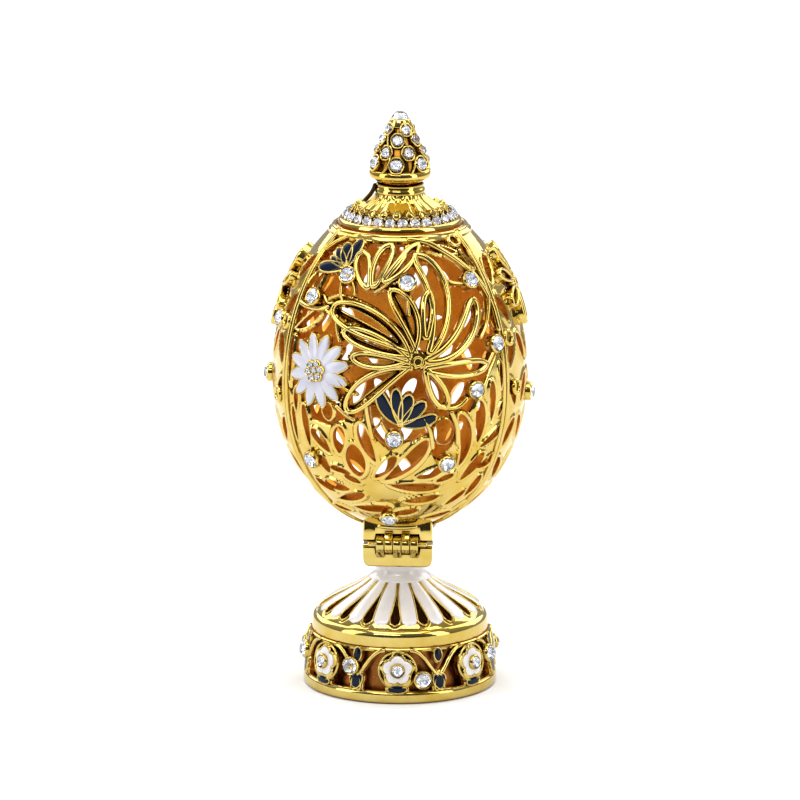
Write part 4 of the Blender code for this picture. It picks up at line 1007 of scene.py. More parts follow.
def hinge_leaf(surface, upper):
    """One leaf: a block with a trough for the barrel, outer corners rounded, and its knuckles."""
    back = -4.2 if upper else -2.4
    far = 33.1 if upper else 23.9
    side = 1 if upper else -1
    corner = 0.5 if upper else 1.4
    across = np.concatenate([
        np.linspace(-BLOCK_HALF_WIDTH, -BARREL_HALF - 0.35, 14),
        np.linspace(-BARREL_HALF - 0.12, BARREL_HALF + 0.12, 5),
        np.linspace(BARREL_HALF + 0.35, BLOCK_HALF_WIDTH, 14),
    ])
    loops = []
    for x in across:
        in_barrel = abs(x) < BARREL_HALF + 0.2
        radius = KNUCKLE_RADIUS + 0.3 if in_barrel else PIN_RADIUS + 0.28
        edge = max(0.0, abs(x) - (BLOCK_HALF_WIDTH - corner)) / corner
        drop = corner * (1 - math.sqrt(max(0.0, 1 - edge * edge)))
        front_edge = max(0.0, abs(x) - (BLOCK_HALF_WIDTH - 0.35)) / 0.35
        front = BLOCK_FRONT + 0.35 * (1 - math.sqrt(max(0.0, 1 - front_edge * front_edge)))
        low = math.asin(0.3 / radius)
        arc = [(max(BLOCK_FRONT + radius * math.cos(t), front), HINGE_HEIGHT + side * radius * math.sin(t))
               for t in np.linspace(low, np.pi / 2, 9)]
        end = far - side * drop
        ring = [(back, HINGE_HEIGHT + side * 0.3)] + arc
        ring += [(front, end - side * 0.3), (front + 0.1, end - side * 0.08), (front + 0.3, end), (back, end)]
        ring = ring if upper else ring[::-1]
        loops.append([(x, y, z) for y, z in ring])
    loft(surface, np.array(loops)[:, ::-1])
    width = 2 * BARREL_HALF / 5
    for index in ((1, 3) if upper else (0, 2, 4)):
        start = -BARREL_HALF + index * width + 0.05
        end = start + width - 0.10
        rings = ((start, 0.4), (start, 0.93), (start + 0.05, 0.98), (start + 0.12, 1.0),
                 (end - 0.12, 1.0), (end - 0.05, 0.98), (end, 0.93), (end, 0.4))
        loft(surface, np.array([round_pin(KNUCKLE_RADIUS * reach, x, 32) for x, reach in rings]))
        near, far_side = HINGE_HEIGHT + side * 0.9, HINGE_HEIGHT + side * 2.6
        strap = [(BLOCK_FRONT - 1.3, near), (BLOCK_FRONT + 1.8, near),
                 (BLOCK_FRONT + 1.8, far_side), (BLOCK_FRONT - 0.35, far_side)]
        slab(surface, rounded(strap if upper else strap[::-1], 0.3, 4), start + 0.02, end - 0.02, 0.05)


# Stand

BAY = 360.0 / FLOWERS
# Heights of the ends of a slit and of an enamel stripe, and a slit's half width at its top
SLIT_TOP = 20.35
SLIT_END = 14.35
STRIPE_TOP = 21.3
STRIPE_END = 14.5
SLIT_START = 0.04
# An arch of the drum: degrees from its flower, height
ARCH = ((7.0, 10.3), (12.0, 9.9), (17.0, 8.6), (21.5, 6.6), (25.7, 4.9))
# How far back the cup reaches behind the hinge, and from which height
CUP_LIMIT = -3.85
CUP_LIMIT_HEIGHT = 23.5


def slit_spread(share):
    """How much wider than at its top a slit is, at shares of the way down."""
    return 1.12 * np.clip((share - 0.22) / 0.78, 0, 1) ** 1.15


def skirt_slit(index):
    """One tapering slit, as a leaf that starts narrow near the neck and ends round near the rim."""
    top, foot = SKIRT.length_at(SLIT_TOP), SKIRT.length_at(SLIT_END)
    middle = float(np.interp((top + foot) / 2, SKIRT.lengths, SKIRT.heights))
    azimuth = SLIT_TURN + 360.0 * index / SLITS
    shape = leaf((azimuth, middle), -90, top - foot, 0.85, sharp=(1.0, 0.22))
    shape["spine"][:, 0] = 0.0
    share = np.linspace(0, 1, LEAF_SAMPLES)
    shape["width"] = SLIT_START + slit_spread(share) * np.sqrt(np.clip((1.0 - share) * 9, 0, 1))
    return shape


def skirt_stripe(index):
    """One enamel stripe between two slits: as wide as the room between them, with a round foot."""
    top, foot = SKIRT.length_at(STRIPE_TOP), SKIRT.length_at(STRIPE_END)
    length = top + (foot - top) * np.linspace(0.0, 1.0, 40)
    room = np.pi * SKIRT.radius_at(length) / SLITS
    slit_top, slit_end = SKIRT.length_at(SLIT_TOP), SKIRT.length_at(SLIT_END)
    slit = SLIT_START + slit_spread(np.clip((slit_top - length) / (slit_top - slit_end), 0, 1))
    half = np.minimum(room - slit - 0.24, room - 0.14)
    return line_spots(SLIT_TURN + 360.0 * (index + 0.5) / SLITS, length), np.maximum(half, 0.03)


def flower_petals(place):
    """The five round petals of one drum flower, the first of them upright."""
    return [leaf(place, 90.0 + 72.0 * n, FLOWER_RADIUS, 0.47 * FLOWER_RADIUS, 0, (0.0, 0.0), (0.8, 0.35))
            for n in range(5)]


def low_leaves(turn):
    """The two navy leaves that lean apart, halfway from a flower to the next."""
    place = (turn + BAY / 2, 4.1)
    return [leaf(place, 90 + 24 * side, 3.3, 0.86, -30 * side, (0.75 * side, -1.5), (0.7, 0.5))
            for side in (-1, 1)]


def small_leaves(turn):
    """The level navy leaf under a flower, and the hanging one halfway to the next flower."""
    return [leaf((turn, 2.9), 0, 3.6, 0.66, sharp=(0.5, 0.5)),
            leaf((turn + BAY / 2, 9.1), -90, 2.6, 0.66, sharp=(0.5, 0.6))]


def drum_shapes():
    """The drum's sheet: flowers in rings, navy leaves between them, and a plain strip at either end."""
    shapes = []
    for n in range(FLOWERS):
        turn = FLOWER_TURN + BAY * n
        shapes += [(shape, 0.30, 0.35, None) for shape in flower_petals((turn, FLOWER_HEIGHT))]
        shapes += [(shape, 0.42, 0.3, None) for shape in low_leaves(turn)]
        shapes += [(shape, border, 0.2, None) for shape, border in zip(small_leaves(turn), (0.35, 0.30))]
    shapes += [(patch((6.0 * n, height), 2.4, 0.42), 0.0, 0.1, None)
               for n in range(60) for height in (10.35, 2.0)]
    return shapes


def stand_sheets():
    """The slit skirt and the pierced drum, each all the way round. The drum is plainer behind."""
    sheet = Surface()
    cover = [(patch((6.0 * n, height), 2.0, 1.3), 0.3, 0.0, None)
             for n in range(60) for height in (14.0, 15.2, 16.6, 18.2, 19.8, 21.2)]
    slits = [(skirt_slit(n), 0.0, 0.0, 0.0) for n in range(SLITS + 1)]
    pierced_sheet(sheet, SKIRT, np.linspace(0.0, 360.0, 433), np.linspace(0.0, SKIRT.lengths[-1], 56),
                  cover + slits, 1.0, sheet_edges(SKIRT, 0.02), closed=True)
    shapes = drum_shapes()
    for n in range(FLOWERS):
        for side in (-1, 1):
            turn = FLOWER_TURN + BAY * (n + 0.5 + 0.2 * side)
            for height in (4.6, 8.4):
                if 95 < turn % 360 < 265:
                    shapes.insert(0, (leaf((turn, height), 90, 3.0, 0.6, sharp=(0.8, 0.8)), 2.2, -0.3, -0.3))
    again = [(shape | {"centre": (shape["centre"][0] + 360.0, shape["centre"][1])}, *heights)
             for shape, *heights in shapes if shape["centre"][0] < 20]
    pierced_sheet(sheet, DRUM, np.linspace(0.0, 360.0, 481), np.linspace(0.0, DRUM.lengths[-1], 38),
                  shapes + again, DRUM_WALL, sheet_edges(DRUM, 0.02), closed=True)
    return sheet


def drum_ornaments(metal, petals, leaves, stones, foil):
    """The drum's flowers, arches, navy leaves and crystals."""
    for n in range(FLOWERS):
        turn = FLOWER_TURN + BAY * n
        place = (turn, FLOWER_HEIGHT)
        for shape in flower_petals(place):
            pad(petals, DRUM, shape, 0.0, 0.22, 0.42)
            edge_bar(metal, DRUM, shape, 0.14, 0.20, 0.16, 0.22, 0.5)
        bar(metal, DRUM, ring_spots(DRUM, place, 3.55, 48, 0.98), 0.26, 0.34, 0.0, DRUM_WALL, closed=True)
        set_stone(stones, foil, metal, DRUM, spot_at(DRUM, *place), 1.12, 1.16, 0.58)
        for shape in low_leaves(turn):
            pad(leaves, DRUM, shape, -0.02, 0.16, 0.30)
            edge_bar(metal, DRUM, shape, 0.16, 0.18, 0.2, 0.24, 0.5)
        for side in (-1, 1):
            arch = [[math.radians(turn + side * away) * RING_RADIUS, DRUM.length_at(height)]
                    for away, height in ARCH]
            line = curve_through(np.array(arch), 0.35)
            spots = line_spots(np.degrees(line[:, 0] / RING_RADIUS), line[:, 1])
            bar(metal, DRUM, spots, 0.42, 0.44, 0.0, DRUM_WALL)
        for shape in small_leaves(turn):
            pad(leaves, DRUM, shape, -0.02, 0.16, 0.20)
            edge_bar(metal, DRUM, shape, 0.14, 0.16, 0.18, 0.15, 0.5)
        share, height = DRUM_STONES[n]
        spot = spot_at(DRUM, FLOWER_TURN + BAY * (n + share), height)
        set_stone(stones, foil, metal, DRUM, spot, STONE_RADIUS, 0.9, 0.90)


def cut_cup(surface, line):
    """The cup and neck turned round Z, pushed back behind the hinge where they would run into it."""
    rings = turned_rings(line, 96)
    behind, high = rings[..., 1] < CUP_LIMIT, rings[..., 2] > CUP_LIMIT_HEIGHT
    inside = np.abs(rings[..., 0]) < BLOCK_HALF_WIDTH + 0.35
    rings[..., 1] = np.where(behind & high & inside, CUP_LIMIT, rings[..., 1])
    loft(surface, rings, closed=True)


def stand_pieces(gold, inner_gold_painted_reflection, hollow_gold_painted_shade, lining_gold_painted_shade, white, navy, glass, silver):
    """Foot ring, pierced drum, rim, slit skirt with enamel stripes, neck and cup."""
    metal = Surface()
    turned(metal, rounded([
        (18.1, 0.0), (RING_RADIUS, 0.3), (RING_RADIUS, 1.9), (18.15, RING_HEIGHT + 0.1),
        (16.6, RING_HEIGHT + 0.1), (15.9, 1.9), (15.9, 0.0),
    ], 0.35), 120)
    turned(metal, rounded([
        (RIM_RADIUS - 0.25, DRUM_TOP - 0.15), (RIM_RADIUS, DRUM_TOP + 0.3), (RIM_RADIUS, 12.9),
        (16.35, SKIRT_FOOT + 0.05), (15.2, SKIRT_FOOT + 0.5), (14.7, SKIRT_FOOT - 0.3),
        (14.9, DRUM_TOP - 0.15),
    ], 0.5), 120)
    golds = [gold, inner_gold_painted_reflection, hollow_gold_painted_shade]
    piece("stand_sheets", stand_sheets(), golds, STAND_BODY, ["stand"])
    # A dark gold sleeve inside the drum: painted shade where the table inside would show through the drum's
    # openings
    lining = Surface()
    turned(lining, [(15.75, 1.9), (15.15, 10.9), (14.95, 10.9), (15.55, 1.9)], 96)
    piece("drum_shade_lining", lining, [lining_gold_painted_shade], STAND_BODY)
    enamel, petals, leaves = Surface(), Surface(), Surface()
    stones, foil = Surface(), Surface()
    for n in range(SLITS):
        spots, half = skirt_stripe(n)
        bar(enamel, SKIRT, spots, half, 0.26, 0.0, 0.25, sides=13)
        edge_bar(metal, SKIRT, skirt_slit(n), 0.12, 0.17, 0.20, 0.0, 0.5)
    cut_cup(enamel, rounded([
        (0.4, 22.4), (0.4, 21.0), (4.9, 20.4), (6.3, 20.45), (5.35, 21.2), (NECK_RADIUS + 0.1, 22.1),
        (NECK_RADIUS + 0.05, 23.2), (5.1, 25.4), (5.9, 28.2), (6.6, 30.0), (CUP_RADIUS - 0.02, 30.5),
        (6.9, STAND_TOP), (0.4, STAND_TOP - 0.02),
    ], 1.2, 5))
    drum_ornaments(metal, petals, leaves, stones, foil)
    piece("skirt_enamel", enamel, [white], STAND_BODY)
    piece("drum_flower_enamel", petals, [white], STAND_BODY)
    piece("drum_leaf_enamel", leaves, [navy], STAND_BODY)
    crystal_pieces("drum", stones, foil, glass, silver, STAND_BODY, numbered("drum_stone", FLOWERS))
    hinge_leaf(metal, False)
    piece("stand_metal", metal, [gold], STAND_BODY, sharp=45.0)


# Collar and finial

COLLAR_CRYSTALS = 27
CROWN_TIPS = 22
FINIAL_PROFILE = (
    (4.1, 97.3), (4.6, 97.6), (5.5, 98.2), (5.85, 98.7), (5.8, 99.4), (5.45, 100.2), (4.95, 101.7),
    (4.35, 103.1),
    (3.7, 104.5), (3.1, 105.9), (2.55, 107.2), (2.1, 108.2), (1.75, 109.0), (1.7, 109.3),
)
# Rows of hexagonal cells: height, azimuth of the first, number, crystal radius
FINIAL_ROWS = ((101.2, -4.0, 6, 1.15), (103.35, 26.0, 6, 1.02), (105.6, -4.0, 5, 1.0), (107.5, 32.0, 4, 0.86))


def crown_profile():
    """The collar's outline, from the egg's top: band, crystal ring, crown, flutes and smooth ring."""
    return Ground([9.0, 8.9, 8.75, 8.45, 7.9, 7.0, 6.0, 5.2],
                  [90.4, 91.2, 91.8, 92.6, 93.2, 93.8, 94.4, 94.9])


def collar_pieces(gold, glass, silver, dark):
    """Band, ring of crystals, scalloped crown, flutes, smooth ring and the dark brace beside it."""
    metal, stones, foil = Surface(), Surface(), Surface()
    band = [(11.8, COLLAR_BASE), (11.5, 90.5), (10.4, 90.7), (9.2, 91.3), (8.2, 91.9), (8.0, COLLAR_BASE)]
    turned(metal, rounded(band, 0.3), 120)
    angle = turns(176)
    scallop = 0.5 + 0.5 * np.cos(CROWN_TIPS * angle)
    flute = 0.5 + 0.5 * np.cos(CROWN_TIPS * angle + np.pi)
    section = ((7.9, 91.1, 0.0, 0.0), (8.75, 91.2, 0.0, 0.0), (8.85, 91.9, 0.10, 0.0), (8.75, 92.5, 0.12, 0.0),
               (8.35, 92.75, 0.0, 0.55), (7.7, 92.7, 0.0, 0.5), (7.3, 92.7, 0.25, 0.2), (6.7, 93.3, 0.35, 0.0),
               (5.7, 93.9, 0.38, 0.0), (5.0, 94.5, 0.26, 0.0), (4.65, 95.0, 0.1, 0.0), (4.5, 95.25, 0.0, 0.0),
               (4.72, 95.45, 0.0, 0.0), (4.74, 96.0, 0.0, 0.0), (4.6, 96.2, 0.0, 0.0), (4.5, 96.4, 0.0, 0.0),
               (4.52, 96.9, 0.0, 0.0), (4.3, 97.02, 0.0, 0.0), (4.1, 91.1, 0.0, 0.0))
    rings = []
    for radius, height, fold, point in section:
        reach = radius + fold * (scallop if height < 92.72 else flute) * (1.0 if height < 92.72 else -1.0)
        level = height + point * (scallop - 0.5)
        rings.append(round_axis(reach, angle, level))
    loft(metal, np.array(rings).transpose(1, 0, 2), closed=True)
    crown = crown_profile()
    for n in range(CROWN_TIPS):
        tip = leaf((360.0 * n / CROWN_TIPS, 92.3), 90, 1.35, 0.62, sharp=(0.45, 0.6))
        edge_bar(metal, crown, tip, 0.0, 0.17, 0.24, 0.25, 0.5)
    for n in range(COLLAR_CRYSTALS):
        turn = math.radians(360.0 * (n + 0.5) / COLLAR_CRYSTALS)
        out = round_axis(0.86, turn, 0.51)
        crystal(stones, foil, round_axis(10.0, turn, 91.05) + 0.28 * out, level_side(out), out, 0.98, 0.55)
        for reach, level in ((10.75, 90.75), (9.35, 91.6)):
            ball(metal, round_axis(reach, turn + math.pi / COLLAR_CRYSTALS, level), 0.26)
    # The curved brace is cast on the collar and stands a little off the finial's foot
    share = np.linspace(0, 1, 24)
    brace = Surface()
    rod(brace, round_axis(4.75 + 2.2 * share ** 1.5, math.radians(-78.0), 97.1 - 3.5 * share ** 0.8), 0.42)
    piece("collar_brace", brace, [dark], STAND_BODY)
    crystal_pieces("collar", stones, foil, glass, silver, STAND_BODY)
    piece("collar_casting", metal, [gold], STAND_BODY, ["collar"], sharp=40.0)


def ball(surface, centre, radius, steps=10):
    """A small bead: rings of latitude round a centre."""
    angle = turns(steps)
    rings = []
    for lift in np.linspace(-0.96, 0.96, 7) * np.pi / 2:
        level = np.full(steps, math.sin(lift))
        rings.append(centre + radius * np.stack([math.cos(lift) * np.cos(angle),
                                                 math.cos(lift) * np.sin(angle), level], axis=1))
    loft(surface, np.array(rings)[:, ::-1])


def rod(surface, path, radius, sides=12):
    """A round bar along a path, its ends drawn in to a dome."""
    path = np.asarray(path, float)
    along = np.gradient(path, axis=0)
    along /= np.linalg.norm(along, axis=1)[:, None]
    side = np.cross(along, [0.3, 0.9, 0.2])
    side /= np.linalg.norm(side, axis=1)[:, None]
    other = np.cross(along, side)
    travel = np.concatenate([[0.0], np.cumsum(np.linalg.norm(np.diff(path, axis=0), axis=1))])
    near = np.minimum(travel, travel[-1] - travel)
    reach = radius * np.sqrt(np.clip(1 - (1 - np.clip(near / radius, 0, 1)) ** 2, 0.03, 1))
    turn = turns(sides)
    rings = (path[:, None] + reach[:, None, None] * (np.cos(turn)[None, :, None] * side[:, None]
                                                     + np.sin(turn)[None, :, None] * other[:, None]))
    loft(surface, rings[:, ::-1])


def finial_pieces(gold, inner_gold_painted_reflection, glass, silver):
    """A cone of hexagonal cells in rows, each a gold frame with a crystal in it, under a top crystal."""
    cone = Ground(*zip(*FINIAL_PROFILE))
    metal, recess, stones, foil = Surface(), Surface(), Surface(), Surface()
    core = [(radius - 0.60, height) for radius, height in FINIAL_PROFILE[3:12]]
    turned(recess, core + [(0.5, 108.2), (0.5, 98.7)], 72)
    foot = [(0.4, 97.3), (4.1, 97.3), (4.7, 97.6), (5.75, 98.35), (5.9, 98.9), (5.75, 99.6), (5.3, 99.9),
            (0.4, 99.9)]
    turned(metal, rounded(foot, 0.3), 96)
    for height, first, count, radius in FINIAL_ROWS:
        for n in range(count):
            place = (first + 360.0 * n / count, height)
            spot = cone.spots(place, [[0, 0]])
            out = cone.normal(spot)[0]
            centre = cone.point(spot)[0] + out * 0.10
            crystal(stones, foil, centre, level_side(out), out, radius, 0.62 * radius)
            turn = np.radians(np.arange(48) * 7.5 + 30.0)
            corner = 1.0 / np.cos(np.mod(turn - math.pi / 6, math.pi / 3) - math.pi / 6)
            reach = (radius + 0.24) * (0.6 + 0.4 * corner)
            hexagon = np.stack([reach * np.sin(turn) * 0.96, reach * np.cos(turn) * 1.1], axis=1)
            bar(metal, cone, cone.spots(place, hexagon), 0.2, 0.34, -0.02, 0.5, closed=True)
    low, high = cone.length_at(99.5), cone.length_at(108.0)
    share = np.linspace(0.0, 1.0, 40)
    for n in range(6):
        spots = line_spots(26.0 + 60.0 * n + 14.0 * np.sin(share * 5.2), low + (high - low) * share)
        bar(metal, cone, spots, 0.22, 0.22, -0.05, 0.4)
    # The core behind the cells is in the hollows' darker gold: painted shade
    piece("finial_recess", recess, [inner_gold_painted_reflection], STAND_BODY, sharp=45.0)
    crystal_pieces("finial", stones, foil, glass, silver, STAND_BODY)
    cap = [(1.0, 107.9), (2.3, 107.9), (2.15, 108.5), (1.86, 109.3), (1.55, 109.45), (1.0, 109.3)]
    turned(metal, rounded(cap, 0.15), 48)
    piece("finial_casting", metal, [gold], STAND_BODY, ["finial"], sharp=45.0)
    crest = Surface()
    rings = ((0.4, 109.3, 0.0), (1.0, 109.4, 0.0), (1.0, 109.55, 0.0), (0.84, 110.15, 0.5),
             (0.5, 110.58, 0.0))
    loft(crest, np.array([round_axis(1.62 * scale, turns(8, shift) + np.pi / 2, level)
                          for scale, level, shift in rings])[:, ::-1])
    piece("finial_top_crystal", crest, [glass], STAND_BODY, ["finial_stone"], CRYSTAL_EDGE)


def hinge_pin_piece(gold):
    """The steel pin under its gilding, with two peened ends."""
    pin = Surface()
    rings = ((-5.62, 0.2), (-5.58, 0.42), (-5.4, 0.53), (-5.2, PIN_RADIUS), (5.2, PIN_RADIUS), (5.4, 0.53),
             (5.58, 0.42), (5.62, 0.2))
    loft(pin, np.array([round_pin(radius, x, 24) for x, radius in rings]))
    piece("gilt_hinge_pin", pin, [gold], STAND_BODY, ["hinge_pin"])


# Materials

def node(tree, kind, inputs, **settings):
    """One node with its settings. Its inputs, by name or number, are linked from other sockets or
    given plain values."""
    made = tree.nodes.new(kind)
    for name, value in settings.items():
        setattr(made, name, value)
    for key, value in inputs.items():
        if isinstance(value, bpy.types.NodeSocket):
            tree.links.new(value, made.inputs[key])
        else:
            made.inputs[key].default_value = value
    return made


def new_material(name, **values):
    """A material's shader with plain values on its sockets."""
    material = bpy.data.materials.new(name)
    material.use_nodes = True
    tree = material.node_tree
    shader = tree.nodes["Principled BSDF"]
    for key, value in values.items():
        shader.inputs[key.replace("_", " ")].default_value = value
    return material, tree, shader


def drive(tree, shader, **sockets):
    """Links sockets to the shader's inputs."""
    for key, socket in sockets.items():
        tree.links.new(socket, shader.inputs[key.replace("_", " ")])


def object_place(tree):
    """The place on the object in metres."""
    return tree.nodes.new("ShaderNodeTexCoord").outputs["Object"]


def noise(tree, place, size, detail, roughness):
    """Noise whose largest waves are a size in millimetres."""
    inputs = {"Vector": place, "Scale": 1.0 / (size * MM), "Detail": detail, "Roughness": roughness}
    return node(tree, "ShaderNodeTexNoise", inputs).outputs["Fac"]


def blended(tree, factor, first, second):
    """A colour between two, the first of which may be a socket."""
    first = first if isinstance(first, bpy.types.NodeSocket) else (*first, 1.0)
    return node(tree, "ShaderNodeMix", {0: factor, 6: first, 7: (*second, 1.0)}, data_type="RGBA").outputs[2]


def ranged(tree, value, low, high, to_low=0.0, to_high=1.0):
    """A value carried from one range to another, and held at its ends."""
    inputs = {0: value, 1: low, 2: high, 3: to_low, 4: to_high}
    return node(tree, "ShaderNodeMapRange", inputs).outputs[0]


def combined(tree, operation, first, second):
    """Two values joined by one operation."""
    return node(tree, "ShaderNodeMath", {0: first, 1: second}, operation=operation).outputs[0]


def bumped(tree, height, strength, depth):
    """The surface's direction over waves of a depth in millimetres."""
    inputs = {"Strength": strength, "Distance": depth * MM, "Height": height}
    return node(tree, "ShaderNodeBump", inputs).outputs["Normal"]


def polished_gilding(name, clean, recess_shade_colour, roughness, waviness, recess_shade_strength):
    """Cast zinc, tumbled and polished, then gold plated: soft waves of the casting under the plate,
    faint drifts in the plate's colour, a rougher finish where polish never reaches, and painted
    shade: the colour darkened towards a dark brown where other metal is close by."""
    material, tree, shader = new_material(name, Metallic=1.0)
    place = object_place(tree)
    drift = noise(tree, place, 6.25, 4.0, 0.55)
    wave = noise(tree, place, 1.92, 2.0, 0.5)
    fine = noise(tree, place, 0.385, 3.0, 0.6)
    # Ambient occlusion: where other metal is close by, the finish is rougher, as unpolished, and the colour is
    # darkened as painted shade
    room = node(tree, "ShaderNodeAmbientOcclusion", {"Distance": 1.1 * MM}, samples=8, only_local=False)
    polished = ranged(tree, room.outputs["AO"], 0.25, 0.85)
    tone = blended(tree, ranged(tree, drift, 0.35, 0.68), linear(clean[0]), linear(clean[1]))
    painted_recess_shade = combined(tree, "MULTIPLY", ranged(tree, polished, 0.0, 1.0, 1.0, 0.0), recess_shade_strength)
    rough = combined(tree, "ADD", ranged(tree, fine, 0.3, 0.75, roughness * 0.7, roughness * 1.35),
                     ranged(tree, polished, 0.0, 1.0, 0.10, 0.0))
    drive(tree, shader, Base_Color=blended(tree, painted_recess_shade, tone, linear(recess_shade_colour)), Roughness=rough,
          Normal=bumped(tree, wave, waviness, 0.12))
    return material


def poured_enamel(name, body, edge, roughness, coat, specular=0.4):
    """Cold enamel poured between gold lines and cured: glossy, with a slow swell, and faint
    clouding in the colour."""
    material, tree, shader = new_material(name, Coat_Weight=coat, Coat_Roughness=0.04,
                                          Specular_IOR_Level=specular)
    place = object_place(tree)
    cloud = noise(tree, place, 4.17, 3.0, 0.5)
    swell = noise(tree, place, 1.43, 1.5, 0.5)
    drive(tree, shader, Base_Color=blended(tree, ranged(tree, cloud, 0.35, 0.7), linear(body), linear(edge)),
          Roughness=ranged(tree, cloud, 0.3, 0.7, roughness * 0.8, roughness * 1.3),
          Normal=bumped(tree, swell, 0.16, 0.10))
    return material


def cut_crystal():
    """Lead crystal, machine cut and polished: clear, with a high index and a breath of haze."""
    material, tree, shader = new_material("machine_cut_crystal", Transmission_Weight=0.92, IOR=1.58)
    haze = noise(tree, object_place(tree), 1.11, 2.0, 0.5)
    drive(tree, shader, Roughness=ranged(tree, haze, 0.3, 0.7, 0.0, 0.03),
          Base_Color=blended(tree, ranged(tree, haze, 0.3, 0.7), linear("#fbfcff"), linear("#eff2f8")))
    return material


def mirror_foil():
    """Silvering painted behind each crystal: a bright mirror, a little uneven."""
    material, tree, shader = new_material("painted_silver_foil", Metallic=1.0)
    unevenness = noise(tree, object_place(tree), 0.667, 3.0, 0.6)
    drive(tree, shader, Roughness=ranged(tree, unevenness, 0.3, 0.7, 0.10, 0.36),
          Base_Color=blended(tree, ranged(tree, unevenness, 0.35, 0.7), linear("#f6f7fb"), linear("#aeb2bd")))
    return material


def paper_floor():
    """Matt white paper sweep with a faint tooth."""
    material, tree, shader = new_material("matt_paper", Roughness=0.9)
    tooth = noise(tree, object_place(tree), 1.11, 3.0, 0.6)
    tone = blended(tree, ranged(tree, tooth, 0.3, 0.7), linear("#f7f7f7"), linear("#f2f2f2"))
    drive(tree, shader, Base_Color=tone)
    return material


# Scene. The lengths of the camera and of the lights are in metres, and their angles in degrees.

CAMERA_AZIMUTH = 4.0
CAMERA_ELEVATION = 13.1
CAMERA_DISTANCE = 1.3
AIM_HEIGHT = 0.0549
FRAME_WIDTH = 0.152
SENSOR_WIDTH = 36.0
# The paper, in millimetres
FLOOR_RADIUS = 1600.0
FLOOR_THICKNESS = 0.6
# Soft boxes: name, azimuth, elevation, distance, (width, height), power in watts
SOFT_BOXES = (
    ("left_box", -66, 20, 0.75, (0.30, 0.8), 2.6), ("right_box", 60, 24, 0.75, (0.26, 0.8), 2.3),
    ("top_box", 0, 78, 0.8, (0.7, 0.5), 3.6), ("front_strip", -14, 38, 0.9, (0.5, 0.10), 1.0),
    ("back_left", -140, 35, 0.9, (0.7, 0.7), 3.6), ("back_right", 140, 35, 0.9, (0.7, 0.7), 3.6),
)


def face_egg(name, data, azimuth, elevation, distance):
    """A camera or lamp at a distance from the middle of the egg, turned to face it."""
    thing = bpy.data.objects.new(name, data)
    bpy.context.scene.collection.objects.link(thing)
    azimuth, elevation = math.radians(azimuth), math.radians(elevation)
    height = AIM_HEIGHT + distance * math.sin(elevation)
    thing.location = round_axis(distance * math.cos(elevation), azimuth, height)
    thing.rotation_euler = (math.pi / 2 - elevation, 0.0, azimuth)
    return thing


def set_camera():
    """The photograph's view, looking down a little at the egg from just right of its front."""
    data = bpy.data.cameras.new("photo_view")
    data.sensor_width = SENSOR_WIDTH
    data.lens = SENSOR_WIDTH * CAMERA_DISTANCE / FRAME_WIDTH
    data.clip_start = 0.05
    bpy.context.scene.camera = face_egg("photo_view", data, CAMERA_AZIMUTH, CAMERA_ELEVATION, CAMERA_DISTANCE)


def set_lights():
    """A pale room: bright behind and above, dim in front, for black lines in the polish."""
    for name, azimuth, elevation, distance, size, power in SOFT_BOXES:
        data = bpy.data.lights.new(name, "AREA")
        data.shape = "RECTANGLE"
        data.size, data.size_y = size
        data.energy = power
        face_egg(name, data, azimuth, elevation, distance)
    world = bpy.data.worlds.new("pale_room")
    bpy.context.scene.world = world
    world.use_nodes = True
    tree = world.node_tree
    way = tree.nodes.new("ShaderNodeTexCoord").outputs["Generated"]
    toward = node(tree, "ShaderNodeSeparateXYZ", {"Vector": way})
    behind = ranged(tree, toward.outputs["Y"], -0.9, 0.5, 0.03, 0.46)
    above = ranged(tree, toward.outputs["Z"], 0.0, 0.9, 0.0, 0.20)
    tree.nodes["Background"].inputs["Color"].default_value = (*linear("#f4f5f8"), 1.0)
    drive(tree, tree.nodes["Background"], Strength=combined(tree, "ADD", behind, above))


def set_floor(material):
    """A round sheet of paper with its top at the height of the object's foot."""
    floor = Surface()
    loft(floor, np.array([round_axis(FLOOR_RADIUS, turns(72), level) for level in (-FLOOR_THICKNESS, 0.0)]))
    object_of("paper_floor", floor, [material], 35.0)


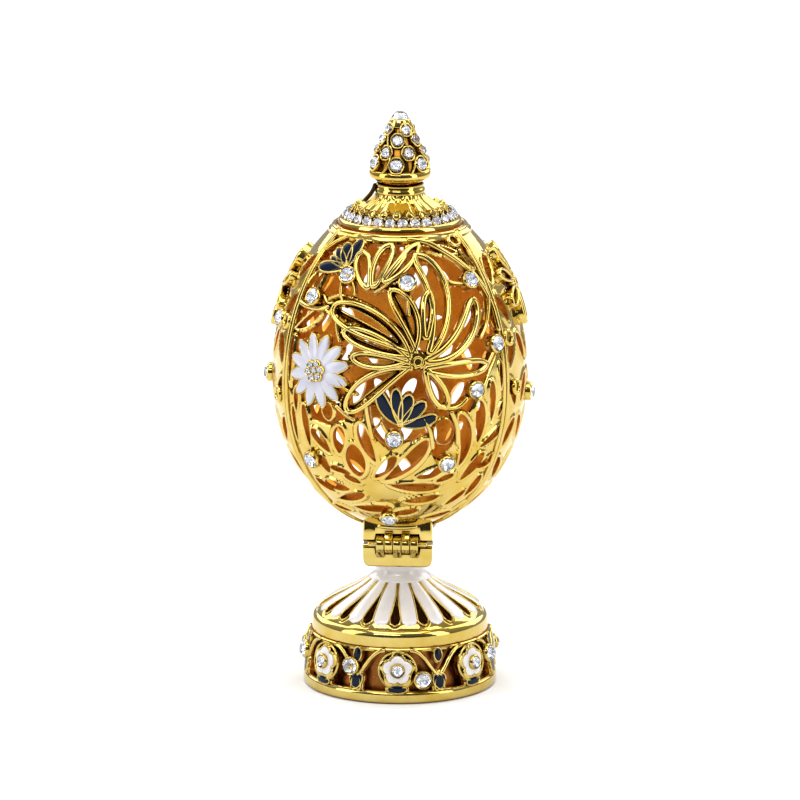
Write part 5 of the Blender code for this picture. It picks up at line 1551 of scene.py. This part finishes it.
def dress_egg_box():
    """Every piece in its material, then the floor, the camera and the lights."""
    # Each gold: name, drifting colours, the dark brown painted into recesses as shade, roughness, waviness, and
    # how strongly that shade is painted
    gold = polished_gilding("polished_gold_plate", ("#d9c172", "#ccac4c"), "#6b3a08", 0.075, 0.24, 0.95)
    # The inside and the cut edges: rougher unpolished gold, its orange tint painted in as reflection of gold on
    # gold
    inner_gold_painted_reflection = polished_gilding("unpolished_gold_inside_painted_reflection", ("#efb044", "#dc9630"), "#7c400a", 0.34, 0.6, 0.8)
    # A slightly darker copy of the gold for the stand: painted shade
    stand_gold_painted_shade = polished_gilding("stand_gold_plate_painted_shade", ("#d0bb70", "#c2a54c"), "#6a3d0e", 0.085, 0.22, 0.95)
    # A darker gold for sunk hollows: painted shade
    hollow_gold_painted_shade = polished_gilding("gold_in_the_hollows_painted_shade", ("#8a6220", "#684410"), "#241102", 0.09, 0.25, 0.9)
    # A dark gold for the sleeve inside the drum: painted shade
    lining_gold_painted_shade = polished_gilding("dark_gold_lining_painted_shade", ("#9a6230", "#7f4c1e"), "#4a2204", 0.36, 0.5, 0.8)
    # A dark brown gold for the brace on the collar
    dark = polished_gilding("dark_brown_brace", ("#5a4420", "#3c2c14"), "#1c1206", 0.22, 0.4, 0.6)
    white = poured_enamel("white_cold_enamel", "#e8e4e3", "#dcd8d8", 0.16, 0.6)
    lilac = poured_enamel("daisy_cold_enamel", "#ccccd6", "#b8b8c6", 0.18, 0.6)
    navy = poured_enamel("navy_cold_enamel", "#08162c", "#050e20", 0.16, 0.05, 0.15)
    glass, silver = cut_crystal(), mirror_foil()
    door_pieces(gold, inner_gold_painted_reflection, hollow_gold_painted_shade, lilac, navy, glass, silver)
    shell_pieces(gold, inner_gold_painted_reflection, hollow_gold_painted_shade, glass, silver)
    stand_pieces(stand_gold_painted_shade, inner_gold_painted_reflection, hollow_gold_painted_shade, lining_gold_painted_shade, white, navy, glass, silver)
    hinge_pin_piece(gold)
    collar_pieces(gold, glass, silver, dark)
    finial_pieces(gold, hollow_gold_painted_shade, glass, silver)
    set_floor(paper_floor())
    set_camera()
    set_lights()


dress_egg_box()
bpy.context.scene.view_settings.view_transform = "Standard"
